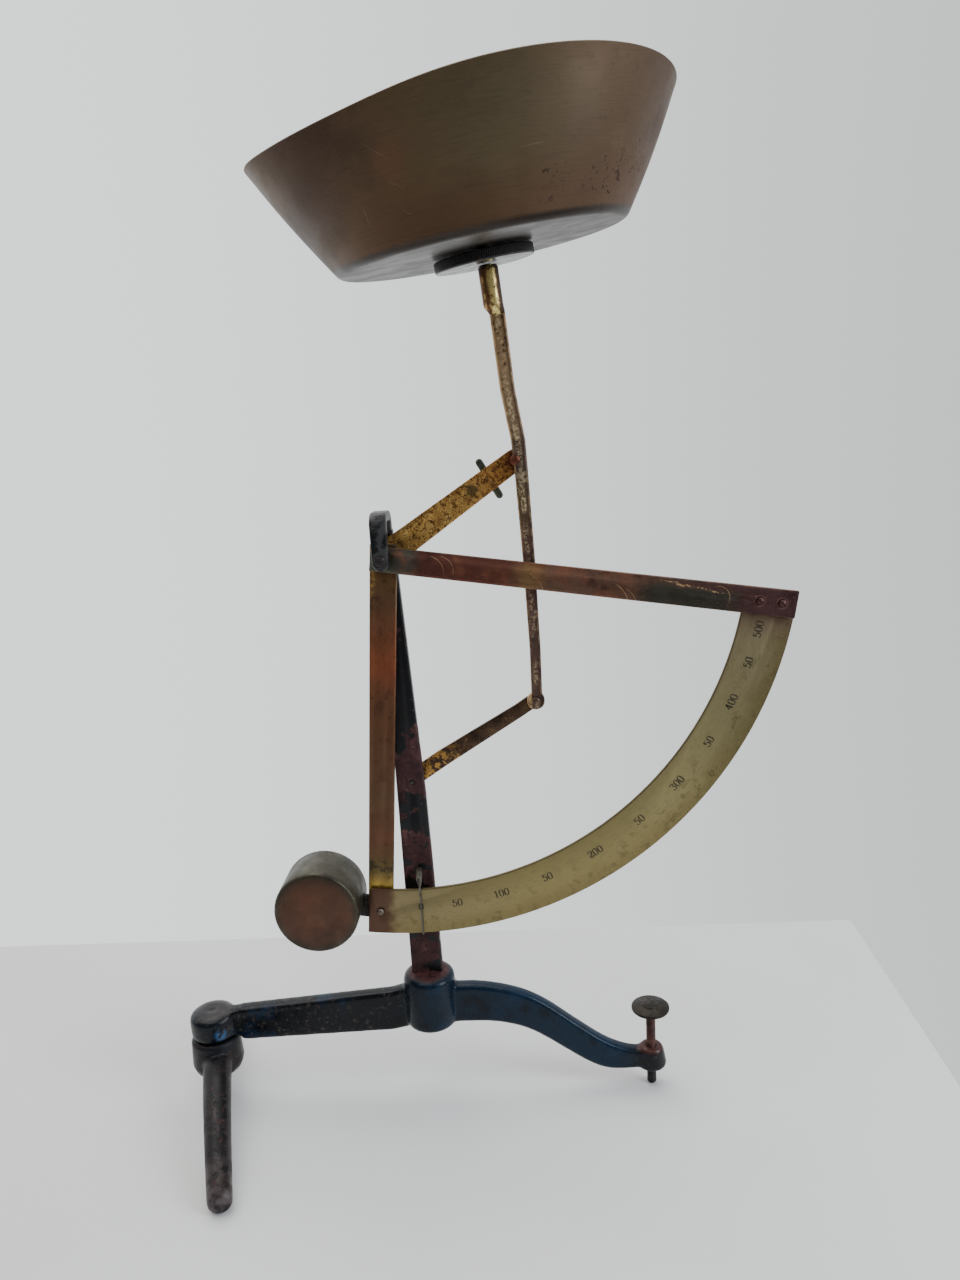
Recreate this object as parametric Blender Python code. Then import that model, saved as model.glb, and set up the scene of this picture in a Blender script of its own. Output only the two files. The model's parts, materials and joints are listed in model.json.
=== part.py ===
"""Quadrant weighing scale: a tilting quadrant with a numbered arc, a pan on a parallel-guided rod,
an iron post on a cast base with a swivelling two-legged foot and a levelling screw.

Metres, +Z up, +X towards the levelling screw, -Y towards the front with the numbers.
The origin is on the floor, under the middle of the whole scale's box.
"""

import math

import bmesh
import bpy
from mathutils import Matrix, Vector

# Clearances between separate pieces
GAP = 0.0003
RUN = 0.00015

# Quadrant: the pivot, the arc and the two arms that carry it
PIVOT_X = -0.02021
PIVOT_Z = 0.227
ARC_OUTER = 0.150
ARC_INNER = 0.131
ARC_START_DEG = -96.9
ARC_END_DEG = -7.8
LONG_ARM_DEG = -9.3
LONG_ARM_BACK = 0.0044
LONG_ARM_TIP = 0.1498
LONG_ARM_WIDTHS = (0.0092, 0.0100)
DOWN_ARM_DEG = -95.1
DOWN_ARM_BACK = 0.0052
DOWN_ARM_TIP = 0.1485
DOWN_ARM_WIDTHS = (0.0100, 0.0098)
LEVER_LENGTH = 0.0593
LEVER_DEG = 33.1
LEVER_WIDTHS = (0.0102, 0.0078)

# Layers of the quadrant from front to back, each as (front y, back y)
LONG_ARM_Y = (-0.0046, -0.0031)
ARC_Y = (-0.0028, -0.0016)
DOWN_ARM_Y = (-0.0013, 0.0002)
ROD_Y = (-0.0012, 0.0012)
LUG_Y = (0.0005, 0.0020)
LEVER_Y = (0.0015, 0.0030)
POST_Y = (0.0039, 0.0079)
FORK_LEG_Y = (-0.0093, -0.0058)

# Parallelogram: the rod hangs on the lever at B and on the lower link at C, which turns on the post at D
ROD_DROP = Vector((0.0033, 0.0, -0.0890))
LINK_WIDTHS = (0.0066, 0.0052)
LINK_THICK = 0.0012
LINK_POST_Y = POST_Y[1] + GAP
LINK_ROD_Y = ROD_Y[1] + GAP
PIN_RADIUS = 0.0009
CLIP_PIN_RADIUS = 0.0008
PIVOT_PIN_RADIUS = 0.0012
HEAD_HEIGHT = 0.0008
BUSH_RADIUS = 0.0024
BUSH_FLANGE = 0.0040

# Rod, its socket and the pan
ROD_LINE = (
    (0.0534, -0.0569, 0.0040),
    (0.0536, -0.0369, 0.0040),
    (0.0529, -0.0034, 0.0044),
    (0.0517, 0.0288, 0.0048),
    (0.0511, 0.0393, 0.0051),
    (0.0483, 0.0565, 0.0052),
    (0.0461, 0.0823, 0.0054),
)
ROD_EYE_RADIUS = 0.0033
SOCKET_TILT_DEG = 5.4
SOCKET_BASE = Vector((0.0451, 0.0, 0.0830))
SOCKET_LENGTH = 0.0144
SOCKET_RADIUS = 0.00345
SOCKET_BORE = 0.0021
STEM_DEPTH = 0.0080
PAN_TILT_DEG = 8.0
PAN_NOD_DEG = 3.9
PAN_BASE = Vector((0.0422, 0.0, 0.1026))
PAN_RIM_RADIUS = 0.0588
PAN_FLAT_RADIUS = 0.0475
PAN_CORNER = 0.0032
PAN_DEPTH = 0.0355
PAN_SHEET = 0.0006
RIM_SHIFT = 0.0116
RIM_SLOPE = (0.002, -0.1065)
LIP_REACH = 0.0250
LIP_RISE = 0.0032
REACH_SPREAD = 0.720
RISE_SPREAD = 0.300
FLANK_BULGE = 0.0007
PAN_STEPS = 60
PAN_RIVET_RADIUS = 0.0016
DISC_RADIUS = 0.0172
DISC_THICK = 0.0037
DISC_DROP = 0.0008
DISC_TILT_DEG = 8.6

# Counterweight at the foot of the down arm
WEIGHT_AT = Vector((-0.0359, 0.0, -0.1351))
WEIGHT_RADIUS = 0.0166
WEIGHT_Y = (-0.0125, 0.0102)
LUG_HEIGHT = 0.0096
CORNER_RIVET = Vector((-0.0124, 0.0, -0.1401))
ARM_RIVETS = (0.1365, 0.1445)
CLIP_ALONG = 0.0478
CLIP_LENGTH = 0.0137
CLIP_WIDTH = 0.0026
CLIP_THICK = 0.0016
CLIP_SKEW_DEG = 4.0

# Post and pointer
POST_RIGHT = ((-0.0029, 0.010), (0.0033, 0.010), (0.0046, -0.017), (0.0082, -0.097), (0.0096, -0.168))
POST_LEFT = ((-0.0030, -0.168), (-0.0028, -0.097), (-0.0029, -0.017))
POST_SHOULDER = 0.0010
POST_TENON = -0.184
FORK_TOP = 0.0170
FORK_HALF = 0.0030
FORK_CROWN = 0.0036
POINTER_X = 0.0040
POINTER_Y = -0.0036
POINTER_RADIUS = 0.00035

# Cast base; heights are above the floor, x is from the pivot
BASE_Y = 0.0060
HUB_X = 0.0036
HUB_RADIUS = 0.0103
HUB_Z = (0.0320, 0.0545)
FOOT_X = -0.0890
BOSS_RADIUS = 0.0092
BOSS_Z = (0.0285, 0.0398)
BAR_HALF_DEPTH = 0.0031
SCREW_X = 0.0938
SCREW_BOSS_Z = (0.0085, 0.0176)
SCREW_BOSS_RADII = (0.0061, 0.0048)
SCREW_RADIUS = 0.0019
SCREW_HEAD_Z = 0.0332
SCREW_HEAD_RADIUS = 0.0077

# Swivelling foot with two legs in one line
FOOT_BOSS_RADIUS = 0.0105
FOOT_BOSS_Z = (0.0118, 0.0282)
FOOT_PIN_RADIUS = 0.0025
FOOT_TURN_DEG = 16.5
LEG_REACH = {"join_front_leg": 0.0675, "join_rear_leg": 0.0520}
LEG_RADII = (0.0060, 0.0046)
LEG_ROOT_Z = 0.0200
LEG_BOW = 0.0003

IRON = (0.025, 0.035, 0.050)
BLACK = (0.018, 0.018, 0.020)
RUST = (0.120, 0.045, 0.030)
COPPER = (0.160, 0.055, 0.032)
BRASS = (0.400, 0.270, 0.080)
OLIVE = (0.330, 0.290, 0.150)
BRONZE = (0.110, 0.070, 0.040)
TAN = (0.200, 0.100, 0.045)
STEEL = (0.350, 0.340, 0.320)

PIVOT = Vector((PIVOT_X, 0.0, PIVOT_Z))
PIN_B = PIVOT + Matrix.Rotation(math.radians(-LEVER_DEG), 3, "Y") @ Vector((LEVER_LENGTH, 0.0, 0.0))
PIN_C = PIN_B + ROD_DROP
PIN_D = PIVOT + ROD_DROP
FRONT = Vector((0.0, -1.0, 0.0))
UP = Vector((0.0, 0.0, 1.0))
SOCKET_AXIS = Matrix.Rotation(math.radians(-SOCKET_TILT_DEG), 3, "Y") @ UP
PAN_NOD = Matrix.Rotation(math.radians(PAN_NOD_DEG), 3, "X") @ UP
PAN_AXIS = Matrix.Rotation(math.radians(-PAN_TILT_DEG), 3, "Y") @ PAN_NOD


def clear_scene():
    for thing in list(bpy.data.objects):
        bpy.data.objects.remove(thing, do_unlink=True)


def polar(radius, degrees, y=0.0):
    """A point in the quadrant's plane, from the pivot."""
    angle = math.radians(degrees)
    return PIVOT + Vector((radius * math.cos(angle), y, radius * math.sin(angle)))


def paint(obj, colour, roughness, metallic):
    material = bpy.data.materials.new(obj.name)
    material.use_nodes = True
    shader = material.node_tree.nodes["Principled BSDF"]
    shader.inputs["Base Color"].default_value = (*colour, 1.0)
    shader.inputs["Roughness"].default_value = roughness
    shader.inputs["Metallic"].default_value = metallic
    obj.data.materials.append(material)
    return obj


def finish_mesh(name, mesh, origin=PIVOT):
    """A closed object from a bmesh in world coordinates, with its origin where asked."""
    bmesh.ops.remove_doubles(mesh, verts=mesh.verts, dist=1e-7)
    bmesh.ops.recalc_face_normals(mesh, faces=mesh.faces)
    bmesh.ops.translate(mesh, vec=-Vector(origin), verts=mesh.verts)
    data = bpy.data.meshes.new(name)
    mesh.to_mesh(data)
    mesh.free()
    data.shade_smooth()
    data.set_sharp_from_angle(angle=math.radians(35))
    obj = bpy.data.objects.new(name, data)
    obj.location = origin
    bpy.context.scene.collection.objects.link(obj)
    return obj


def plate(mesh, outline, front, back):
    """Adds an outline in the XZ plane, pushed from y = front to y = back."""
    near = [mesh.verts.new((x, front, z)) for x, z in outline]
    far = [mesh.verts.new((x, back, z)) for x, z in outline]
    mesh.faces.new(near)
    mesh.faces.new(reversed(far))
    for i in range(len(near)):
        j = (i + 1) % len(near)
        mesh.faces.new((near[i], far[i], far[j], near[j]))


def bridge(mesh, rings):
    """Joins rings of equal length into a tube and closes its two ends."""
    count = len(rings[0])
    for low, high in zip(rings, rings[1:]):
        for k in range(count):
            n = (k + 1) % count
            mesh.faces.new((low[k], low[n], high[n], high[k]))
    mesh.faces.new(reversed(rings[0]))
    mesh.faces.new(rings[-1])


def turned(mesh, profile, base, axis, steps=28):
    """Adds a solid of revolution; the profile is (radius, height along the axis), closed on the axis
    where its ends have radius 0 and round on itself where they don't."""
    spin = UP.rotation_difference(Vector(axis).normalized()).to_matrix()
    rings = []
    for radius, height in profile:
        if radius < 1e-7:
            rings.append([mesh.verts.new(Vector(base) + spin @ Vector((0, 0, height)))])
            continue
        ring = []
        for k in range(steps):
            angle = 2 * math.pi * (k + 0.5) / steps
            point = Vector((radius * math.cos(angle), radius * math.sin(angle), height))
            ring.append(mesh.verts.new(Vector(base) + spin @ point))
        rings.append(ring)
    pairs = list(zip(rings, rings[1:]))
    if len(rings[0]) > 1 and len(rings[-1]) > 1:
        pairs.append((rings[-1], rings[0]))
    for low, high in pairs:
        for k in range(steps):
            n = (k + 1) % steps
            if len(low) == 1:
                mesh.faces.new((low[0], high[n], high[k]))
            elif len(high) == 1:
                mesh.faces.new((low[k], low[n], high[0]))
            else:
                mesh.faces.new((low[k], low[n], high[n], high[k]))


def lathe(name, profile, base, axis, origin, steps=28):
    mesh = bmesh.new()
    turned(mesh, profile, base, axis, steps)
    return finish_mesh(name, mesh, origin)


def rounded_strip(start, end, widths, start_round=True, end_round=True, steps=8):
    """Outline (x, z) of a tapering strip between two points, with half-round or square ends."""
    start, end = Vector((start[0], start[-1])), Vector((end[0], end[-1]))
    along = (end - start).normalized()
    across = Vector((-along.y, along.x))
    points = []
    for centre, half, way, rounded in (
        (end, widths[1] / 2, along, end_round),
        (start, widths[0] / 2, -along, start_round),
    ):
        side = across if way == along else -across
        if not rounded:
            points += [centre - side * half, centre + side * half]
            continue
        for k in range(steps + 1):
            turn = -math.pi / 2 + math.pi * k / steps
            points.append(centre + way * (half * math.cos(turn)) + side * (half * math.sin(turn)))
    return [(p.x, p.y) for p in points]


def ease(points, per_span=3):
    """A smooth curve (Catmull-Rom) through a few hand-set points."""
    ends = [Vector(points[0]), *map(Vector, points), Vector(points[-1])]
    curve = []
    for a, b, c, d in zip(ends, ends[1:], ends[2:], ends[3:]):
        for k in range(per_span):
            t = k / per_span
            square, cube = 2 * a - 5 * b + 4 * c - d, 3 * b - a - 3 * c + d
            curve.append(b + ((c - a) * t + square * t**2 + cube * t**3) / 2)
    curve.append(ends[-1])
    return [tuple(point) for point in curve]


def bevel(obj, width, segments=1, angle=40):
    """A small bevel on an object's sharp edges."""
    edge = obj.modifiers.new("edges", "BEVEL")
    edge.width = width
    edge.segments = segments
    edge.limit_method = "ANGLE"
    edge.angle_limit = math.radians(angle)
    edge.use_clamp_overlap = True
    return obj


def helper(obj):
    obj.hide_render = True
    obj.display_type = "WIRE"
    return obj


def boolean(obj, other, operation):
    change = obj.modifiers.new(other.name, "BOOLEAN")
    change.operation = operation
    change.object = other
    change.solver = "EXACT"
    return obj


def drill(name, centre, radius, length=0.060, axis=FRONT, steps=28):
    """A round cutter through a centre, for holes that several pieces share."""
    half = length / 2
    profile = ((0, -half), (radius, -half), (radius, half), (0, half))
    return helper(lathe(name, profile, centre, axis, centre, steps))


def pin(name, centre, radius, front, back, head, origin, back_head):
    """A pin along Y with a low domed head at its front and a flat one at its back."""
    reach = back - front
    profile = [
        (0, -reach - HEAD_HEIGHT), (back_head, -reach - HEAD_HEIGHT), (back_head, -reach), (radius, -reach),
        (radius, 0), (head, 0), (head * 0.88, HEAD_HEIGHT * 0.45), (head * 0.55, HEAD_HEIGHT * 0.85),
        (0, HEAD_HEIGHT),
    ]
    base = Vector((centre.x, front, centre.z))
    return lathe(name, profile, base, FRONT, origin, 20)


# --- quadrant ---------------------------------------------------------------


def bush_profile():
    """(radius, distance behind the long arm's front) of the bush that holds the three arms apart."""
    bore = PIVOT_PIN_RADIUS + RUN
    stations = (
        (BUSH_RADIUS, LONG_ARM_Y[0]),
        (BUSH_RADIUS, LONG_ARM_Y[1] + GAP),
        (BUSH_FLANGE, LONG_ARM_Y[1] + GAP),
        (BUSH_FLANGE, DOWN_ARM_Y[0] - GAP),
        (BUSH_RADIUS, DOWN_ARM_Y[0] - GAP),
        (BUSH_RADIUS, DOWN_ARM_Y[1] + GAP),
        (BUSH_FLANGE, DOWN_ARM_Y[1] + GAP),
        (BUSH_FLANGE, LEVER_Y[0] - GAP),
        (BUSH_RADIUS, LEVER_Y[0] - GAP),
        (BUSH_RADIUS, LEVER_Y[1] + GAP),
        (bore, LEVER_Y[1] + GAP),
        (bore, LONG_ARM_Y[0]),
    )
    return [(radius, y - LONG_ARM_Y[0]) for radius, y in stations]


def arm_plate(name, outline, layer, cutters, colour):
    """One flat arm of the quadrant: an outline in its layer, its edges eased and its holes cut."""
    mesh = bmesh.new()
    plate(mesh, outline, *layer)
    arm = bevel(finish_mesh(name, mesh), 0.0002)
    for cutter in cutters:
        boolean(arm, cutter, "DIFFERENCE")
    return paint(arm, colour, 0.45, 0.8)


def make_quadrant():
    corner = PIVOT + CORNER_RIVET
    clip_at = polar(CLIP_ALONG, LEVER_DEG)
    bush_drill = drill("cut_bush", PIVOT, BUSH_RADIUS + GAP)
    corner_drill = drill("cut_corner_rivet", corner, PIN_RADIUS + GAP)
    upper_drill = drill("cut_upper_rod_pin", PIN_B, PIN_RADIUS + GAP)
    clip_drill = drill("cut_clip_rivet", clip_at, PIN_RADIUS + GAP)
    arm_drills = []
    for n, reach in enumerate(ARM_RIVETS, 1):
        arm_drills.append(drill(f"cut_arm_rivet_{n}", polar(reach, LONG_ARM_DEG), PIN_RADIUS + GAP))

    start, end = polar(-LONG_ARM_BACK, LONG_ARM_DEG), polar(LONG_ARM_TIP, LONG_ARM_DEG)
    outline = rounded_strip(start, end, LONG_ARM_WIDTHS, False, False)
    arm_plate("long_arm", outline, LONG_ARM_Y, (bush_drill, *arm_drills), COPPER)

    start, end = polar(-DOWN_ARM_BACK, DOWN_ARM_DEG), polar(DOWN_ARM_TIP, DOWN_ARM_DEG)
    outline = rounded_strip(start, end, DOWN_ARM_WIDTHS, False, False)
    arm_plate("down_arm", outline, DOWN_ARM_Y, (bush_drill, corner_drill), TAN)

    outline = rounded_strip(PIVOT, PIN_B, LEVER_WIDTHS)
    arm_plate("lever_arm", outline, LEVER_Y, (bush_drill, upper_drill, clip_drill), BRASS)

    steps = 44
    sweep = ARC_END_DEG - ARC_START_DEG
    angles = [ARC_START_DEG + sweep * k / steps for k in range(steps + 1)]
    ring = [polar(ARC_OUTER, a) for a in angles] + [polar(ARC_INNER, a) for a in reversed(angles)]
    arm_plate("scale_arc", [(p.x, p.z) for p in ring], ARC_Y, (corner_drill, *arm_drills), OLIVE)

    bush_base = Vector((PIVOT.x, LONG_ARM_Y[0], PIVOT.z))
    paint(lathe("quadrant_bush", bush_profile(), bush_base, -FRONT, PIVOT, 24), BRASS, 0.4, 0.9)
    upper = pin("upper_rod_pin", PIN_B, PIN_RADIUS, ROD_Y[0] - GAP, LEVER_Y[1] + GAP, 0.0019, PIVOT, 0.0019)
    paint(upper, RUST, 0.7, 0.4)
    rivet = pin("corner_rivet", corner, PIN_RADIUS, ARC_Y[0] - GAP, LUG_Y[1] + GAP, 0.0015, PIVOT, 0.0020)
    paint(rivet, STEEL, 0.4, 0.8)
    for n, reach in enumerate(ARM_RIVETS, 1):
        at = polar(reach, LONG_ARM_DEG)
        front, back = LONG_ARM_Y[0] - GAP, ARC_Y[1] + GAP
        rivet = pin(f"arm_rivet_{n}", at, PIN_RADIUS, front, back, 0.0014, PIVOT, 0.0016)
        paint(rivet, COPPER, 0.45, 0.8)


def make_clip():
    """The small cross bar behind the lever that trims the balance, and its rivet."""
    centre = polar(CLIP_ALONG, LEVER_DEG)
    across = math.radians(LEVER_DEG - 90 - CLIP_SKEW_DEG)
    half = Vector((math.cos(across), 0, math.sin(across))) * CLIP_LENGTH / 2
    front = LEVER_Y[1] + GAP
    back = front + CLIP_THICK
    mesh = bmesh.new()
    plate(mesh, rounded_strip(centre - half, centre + half, (CLIP_WIDTH, CLIP_WIDTH)), front, back)
    clip = bevel(finish_mesh("balance_clip", mesh), 0.0004)
    boolean(clip, bpy.data.objects["cut_clip_rivet"], "DIFFERENCE")
    paint(clip, (0.09, 0.10, 0.07), 0.5, 0.8)
    rivet = pin("clip_rivet", centre, CLIP_PIN_RADIUS, LEVER_Y[0] - GAP, back + GAP, 0.0011, PIVOT, 0.0012)
    paint(rivet, BRASS, 0.5, 0.9)


def make_counterweight():
    """Round weight with soft edges, the lug that carries it and the screw that holds the two together."""
    centre = PIVOT + WEIGHT_AT
    edge = 0.0014
    depth = WEIGHT_Y[1] - WEIGHT_Y[0]
    profile = [(0, 0), (WEIGHT_RADIUS * 0.55, 0.0001)]
    for t in range(4):
        turn = t * math.pi / 6
        profile.append((WEIGHT_RADIUS - edge + edge * math.sin(turn), 0.0004 + edge - edge * math.cos(turn)))
    profile += [(radius, depth - height) for radius, height in reversed(profile)]
    base = Vector((centre.x, WEIGHT_Y[1], centre.z))
    weight = lathe("counterweight", profile, base, FRONT, PIVOT, 48)

    mesh = bmesh.new()
    plate(mesh, lug_outline(centre, 0), *LUG_Y)
    lug = bevel(finish_mesh("counterweight_lug", mesh), 0.0002)
    boolean(lug, bpy.data.objects["cut_corner_rivet"], "DIFFERENCE")
    paint(lug, BLACK, 0.6, 0.5)

    mesh = bmesh.new()
    plate(mesh, lug_outline(centre, GAP), LUG_Y[0] - GAP, LUG_Y[1] + GAP)
    boolean(weight, helper(finish_mesh("cut_lug_slot", mesh)), "DIFFERENCE")
    shank, head = 0.0016, 0.0028
    screw_at = Vector((centre.x, WEIGHT_Y[1], centre.z))
    boolean(weight, drill("cut_weight_screw", screw_at, shank + GAP, 0.0080), "DIFFERENCE")
    paint(weight, COPPER, 0.4, 0.8)
    profile = [(0, -0.0036), (shank, -0.0036), (shank, 0), (head, 0), (0.0020, 0.0009), (0, 0.0010)]
    screw = lathe("weight_screw", profile, screw_at - FRONT * GAP, -FRONT, PIVOT, 20)
    paint(screw, STEEL, 0.4, 0.9)


def lug_outline(centre, grow):
    """(x, z) outline of the strap from the arc's corner into the weight, or of the slot around it."""
    left, right = centre.x - 0.006 - grow, PIVOT.x + CORNER_RIVET.x + 0.0035 + grow
    low, high = centre.z - 0.0007 - LUG_HEIGHT / 2 - grow, centre.z - 0.0007 + LUG_HEIGHT / 2 + grow
    drop = 0.0048
    return [(left, low), (right, low - drop), (right, high - drop), (left, high)]


# --- pan rod, link and pan --------------------------------------------------


def make_pan_rod():
    """Flat bar bent above the lever, with a round eye at the link and a tenon up into the socket."""
    right = [(PIVOT.x + x + w / 2, PIVOT.z + z) for x, z, w in ROD_LINE]
    left = [(PIVOT.x + x - w / 2, PIVOT.z + z) for x, z, w in ROD_LINE]
    mesh = bmesh.new()
    plate(mesh, right + left[::-1], *ROD_Y)
    rod = bevel(finish_mesh("pan_rod", mesh, PIN_B), 0.0005)

    half = (ROD_Y[1] - ROD_Y[0]) / 2
    profile = ((0, -half), (ROD_EYE_RADIUS, -half), (ROD_EYE_RADIUS, half), (0, half))
    boolean(rod, helper(lathe("join_rod_eye", profile, PIN_C, FRONT, PIN_B, 24)), "UNION")
    base = PIVOT + SOCKET_BASE
    tenon = ((0, -0.0030), (0.0008, -0.0030), (0.0008, -0.0010), (0.0017, 0.0), (0.0017, 0.0045), (0, 0.0045))
    boolean(rod, helper(lathe("join_rod_tenon", tenon, base, SOCKET_AXIS, PIN_B, 16)), "UNION")
    boolean(rod, drill("cut_lower_rod_pin", PIN_C, PIN_RADIUS + GAP), "DIFFERENCE")
    boolean(rod, drill("cut_rod_upper_hole", PIN_B, PIN_RADIUS + RUN), "DIFFERENCE")
    paint(rod, BRONZE, 0.5, 0.8)

    tube = [
        (SOCKET_RADIUS - 0.0005, 0), (SOCKET_RADIUS, 0.0006),
        (SOCKET_RADIUS, SOCKET_LENGTH - 0.0003), (SOCKET_RADIUS - 0.0003, SOCKET_LENGTH),
        (SOCKET_BORE, SOCKET_LENGTH), (SOCKET_BORE, 0),
    ]
    paint(lathe("rod_socket", tube, base, SOCKET_AXIS, PIN_B, 28), BRASS, 0.3, 0.9)
    back = LINK_ROD_Y + LINK_THICK + GAP
    lower = pin("lower_rod_pin", PIN_C, PIN_RADIUS, ROD_Y[0] - GAP, back, 0.0017, PIN_B, 0.0017)
    paint(lower, BRONZE, 0.5, 0.8)


def make_link():
    """Strip behind the post, bent forward so that it meets the back of the rod."""
    run = (PIN_C - PIN_D).length
    flat_post, flat_rod = 0.0145, 0.0080
    half_post, half_rod = LINK_WIDTHS[0] / 2, LINK_WIDTHS[1] / 2
    steps = 8
    stations = []
    for k in range(steps + 1):
        turn = math.pi / 2 * k / steps
        stations.append((-math.cos(turn) * half_post, math.sin(turn) * half_post))
    stations += [(flat_post, half_post), ((flat_post + run - flat_rod) / 2, (half_post + half_rod) / 2)]
    stations += [(run - flat_rod, half_rod)]
    for k in range(steps + 1):
        turn = math.pi / 2 * k / steps
        stations.append((run + math.sin(turn) * half_rod, math.cos(turn) * half_rod))
    along = (PIN_C - PIN_D).normalized()
    across = Vector((-along.z, 0.0, along.x))
    mesh = bmesh.new()
    rows = []
    for reach, half in stations:
        bent = min(max((reach - flat_post) / (run - flat_rod - flat_post), 0), 1)
        front = LINK_POST_Y + (LINK_ROD_Y - LINK_POST_Y) * bent
        row = []
        for side, y in ((-1, front), (1, front), (1, front + LINK_THICK), (-1, front + LINK_THICK)):
            point = PIN_D + along * reach + across * (side * half)
            row.append(mesh.verts.new((point.x, y, point.z)))
        rows.append(row)
    bridge(mesh, rows)
    bmesh.ops.dissolve_degenerate(mesh, dist=1e-6, edges=mesh.edges)
    link = finish_mesh("lower_link", mesh, PIN_D)
    boolean(link, bpy.data.objects["cut_lower_rod_pin"], "DIFFERENCE")
    boolean(link, drill("cut_link_pin", PIN_D, PIN_RADIUS + GAP), "DIFFERENCE")
    paint(link, (0.10, 0.06, 0.035), 0.5, 0.8)


def pan_meridian(angle, offset):
    """(radius, height) points of the sheet at one angle round the pan, at a distance inside its outer face:
    flat floor, round corner, flank, and a rim that is drawn out into a raised lip on the -X side."""
    from_lip = math.pi - abs(angle - math.pi * 2 * round(angle / (2 * math.pi)))
    reach_out = LIP_REACH * math.exp(-((from_lip / REACH_SPREAD) ** 2))
    off_centre = PAN_RIM_RADIUS**2 - (RIM_SHIFT * math.sin(angle)) ** 2
    rim_radius = RIM_SHIFT * math.cos(angle) + math.sqrt(off_centre) + reach_out
    rim_height = PAN_DEPTH + LIP_RISE * math.exp(-((from_lip / RISE_SPREAD) ** 2))
    rim_height += RIM_SLOPE[0] * (rim_radius * math.cos(angle) - RIM_SHIFT)
    rim_height += RIM_SLOPE[1] * rim_radius * math.sin(angle)
    rim = Vector((rim_radius, rim_height))

    centre = Vector((PAN_FLAT_RADIUS, PAN_CORNER))
    reach = rim - centre
    flank = math.atan2(reach.y, reach.x) - math.acos(PAN_CORNER / reach.length)
    outward = Vector((math.cos(flank), math.sin(flank)))
    points = [(PAN_FLAT_RADIUS * 0.5, offset), (PAN_FLAT_RADIUS, offset)]
    for k in range(1, 6):
        turn = -math.pi / 2 + (flank + math.pi / 2) * k / 5
        radius = PAN_CORNER - offset
        points.append((centre.x + radius * math.cos(turn), centre.y + radius * math.sin(turn)))
    tangent = centre + outward * PAN_CORNER
    for part in (0.33, 0.66, 1.0):
        bulge = FLANK_BULGE * math.sin(math.pi * part)
        spot = tangent.lerp(rim, part) + outward * (bulge - offset)
        points.append((spot.x, spot.y))
    points[-1] = (points[-1][0], rim_height)
    return points


def make_pan():
    base = PIVOT + PAN_BASE
    lean = UP.rotation_difference(PAN_AXIS).to_matrix()
    mesh = bmesh.new()
    columns = []
    for k in range(PAN_STEPS):
        angle = 2 * math.pi * k / PAN_STEPS
        column = []
        for radius, height in pan_meridian(angle, 0) + pan_meridian(angle, PAN_SHEET)[::-1]:
            point = Vector((radius * math.cos(angle), radius * math.sin(angle), height))
            column.append(mesh.verts.new(base + lean @ point))
        columns.append(column)
    under = mesh.verts.new(base)
    floor = mesh.verts.new(base + PAN_AXIS * PAN_SHEET)
    for a, b in zip(columns, columns[1:] + columns[:1]):
        for low in range(len(a) - 1):
            mesh.faces.new((a[low], b[low], b[low + 1], a[low + 1]))
        mesh.faces.new((under, b[0], a[0]))
        mesh.faces.new((floor, a[-1], b[-1]))
    pan = finish_mesh("pan", mesh, base)
    pan_drill = drill("cut_pan_rivet", base, PAN_RIVET_RADIUS + GAP, 0.020, PAN_AXIS)
    boolean(pan, pan_drill, "DIFFERENCE")
    paint(pan, BRONZE, 0.35, 0.8)

    disc_top = base - PAN_AXIS * DISC_DROP
    disc_axis = Matrix.Rotation(math.radians(-DISC_TILT_DEG), 3, "Y") @ PAN_NOD
    soft = 0.0003
    profile = [
        (0, -DISC_THICK), (DISC_RADIUS - soft, -DISC_THICK), (DISC_RADIUS, soft - DISC_THICK),
        (DISC_RADIUS, -soft), (DISC_RADIUS - soft, 0), (0, 0),
    ]
    disc = lathe("pan_disc", profile, disc_top, disc_axis, base, 48)
    boolean(disc, pan_drill, "DIFFERENCE")
    paint(disc, BLACK, 0.25, 0.8)

    underside = disc_top - PAN_AXIS * (DISC_THICK + GAP)
    socket_top = PIVOT + SOCKET_BASE + SOCKET_AXIS * SOCKET_LENGTH
    collar = (underside - socket_top).dot(SOCKET_AXIS) - 0.0002
    stem, collar_radius = SOCKET_BORE - RUN, SOCKET_RADIUS - 0.0002
    profile = [
        (0, -STEM_DEPTH), (stem, -STEM_DEPTH), (stem, GAP), (collar_radius, GAP), (collar_radius, collar),
        (0, collar),
    ]
    paint(lathe("pan_stem", profile, socket_top, SOCKET_AXIS, base, 24), (0.12, 0.08, 0.035), 0.45, 0.8)
    shank, flush = DISC_THICK + DISC_DROP, -GAP - 0.00005
    profile = [
        (0, -shank), (PAN_RIVET_RADIUS, -shank), (PAN_RIVET_RADIUS, flush - 0.0003),
        (PAN_RIVET_RADIUS - 0.0003, flush), (0, flush),
    ]
    rivet_base = base + PAN_AXIS * (PAN_SHEET + GAP)
    paint(lathe("pan_rivet", profile, rivet_base, PAN_AXIS, base, 20), BRONZE, 0.45, 0.8)


# --- post, pointer and pins -------------------------------------------------


def quarter(centre, radius, start, steps):
    """Points (y, z) of a quarter circle that starts at an angle and turns anticlockwise, or clockwise."""
    points = []
    for k in range(abs(steps) + 1):
        turn = start + math.pi / 2 * k / steps
        points.append((centre[0] + radius * math.cos(turn), centre[1] + radius * math.sin(turn)))
    return points


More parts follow.
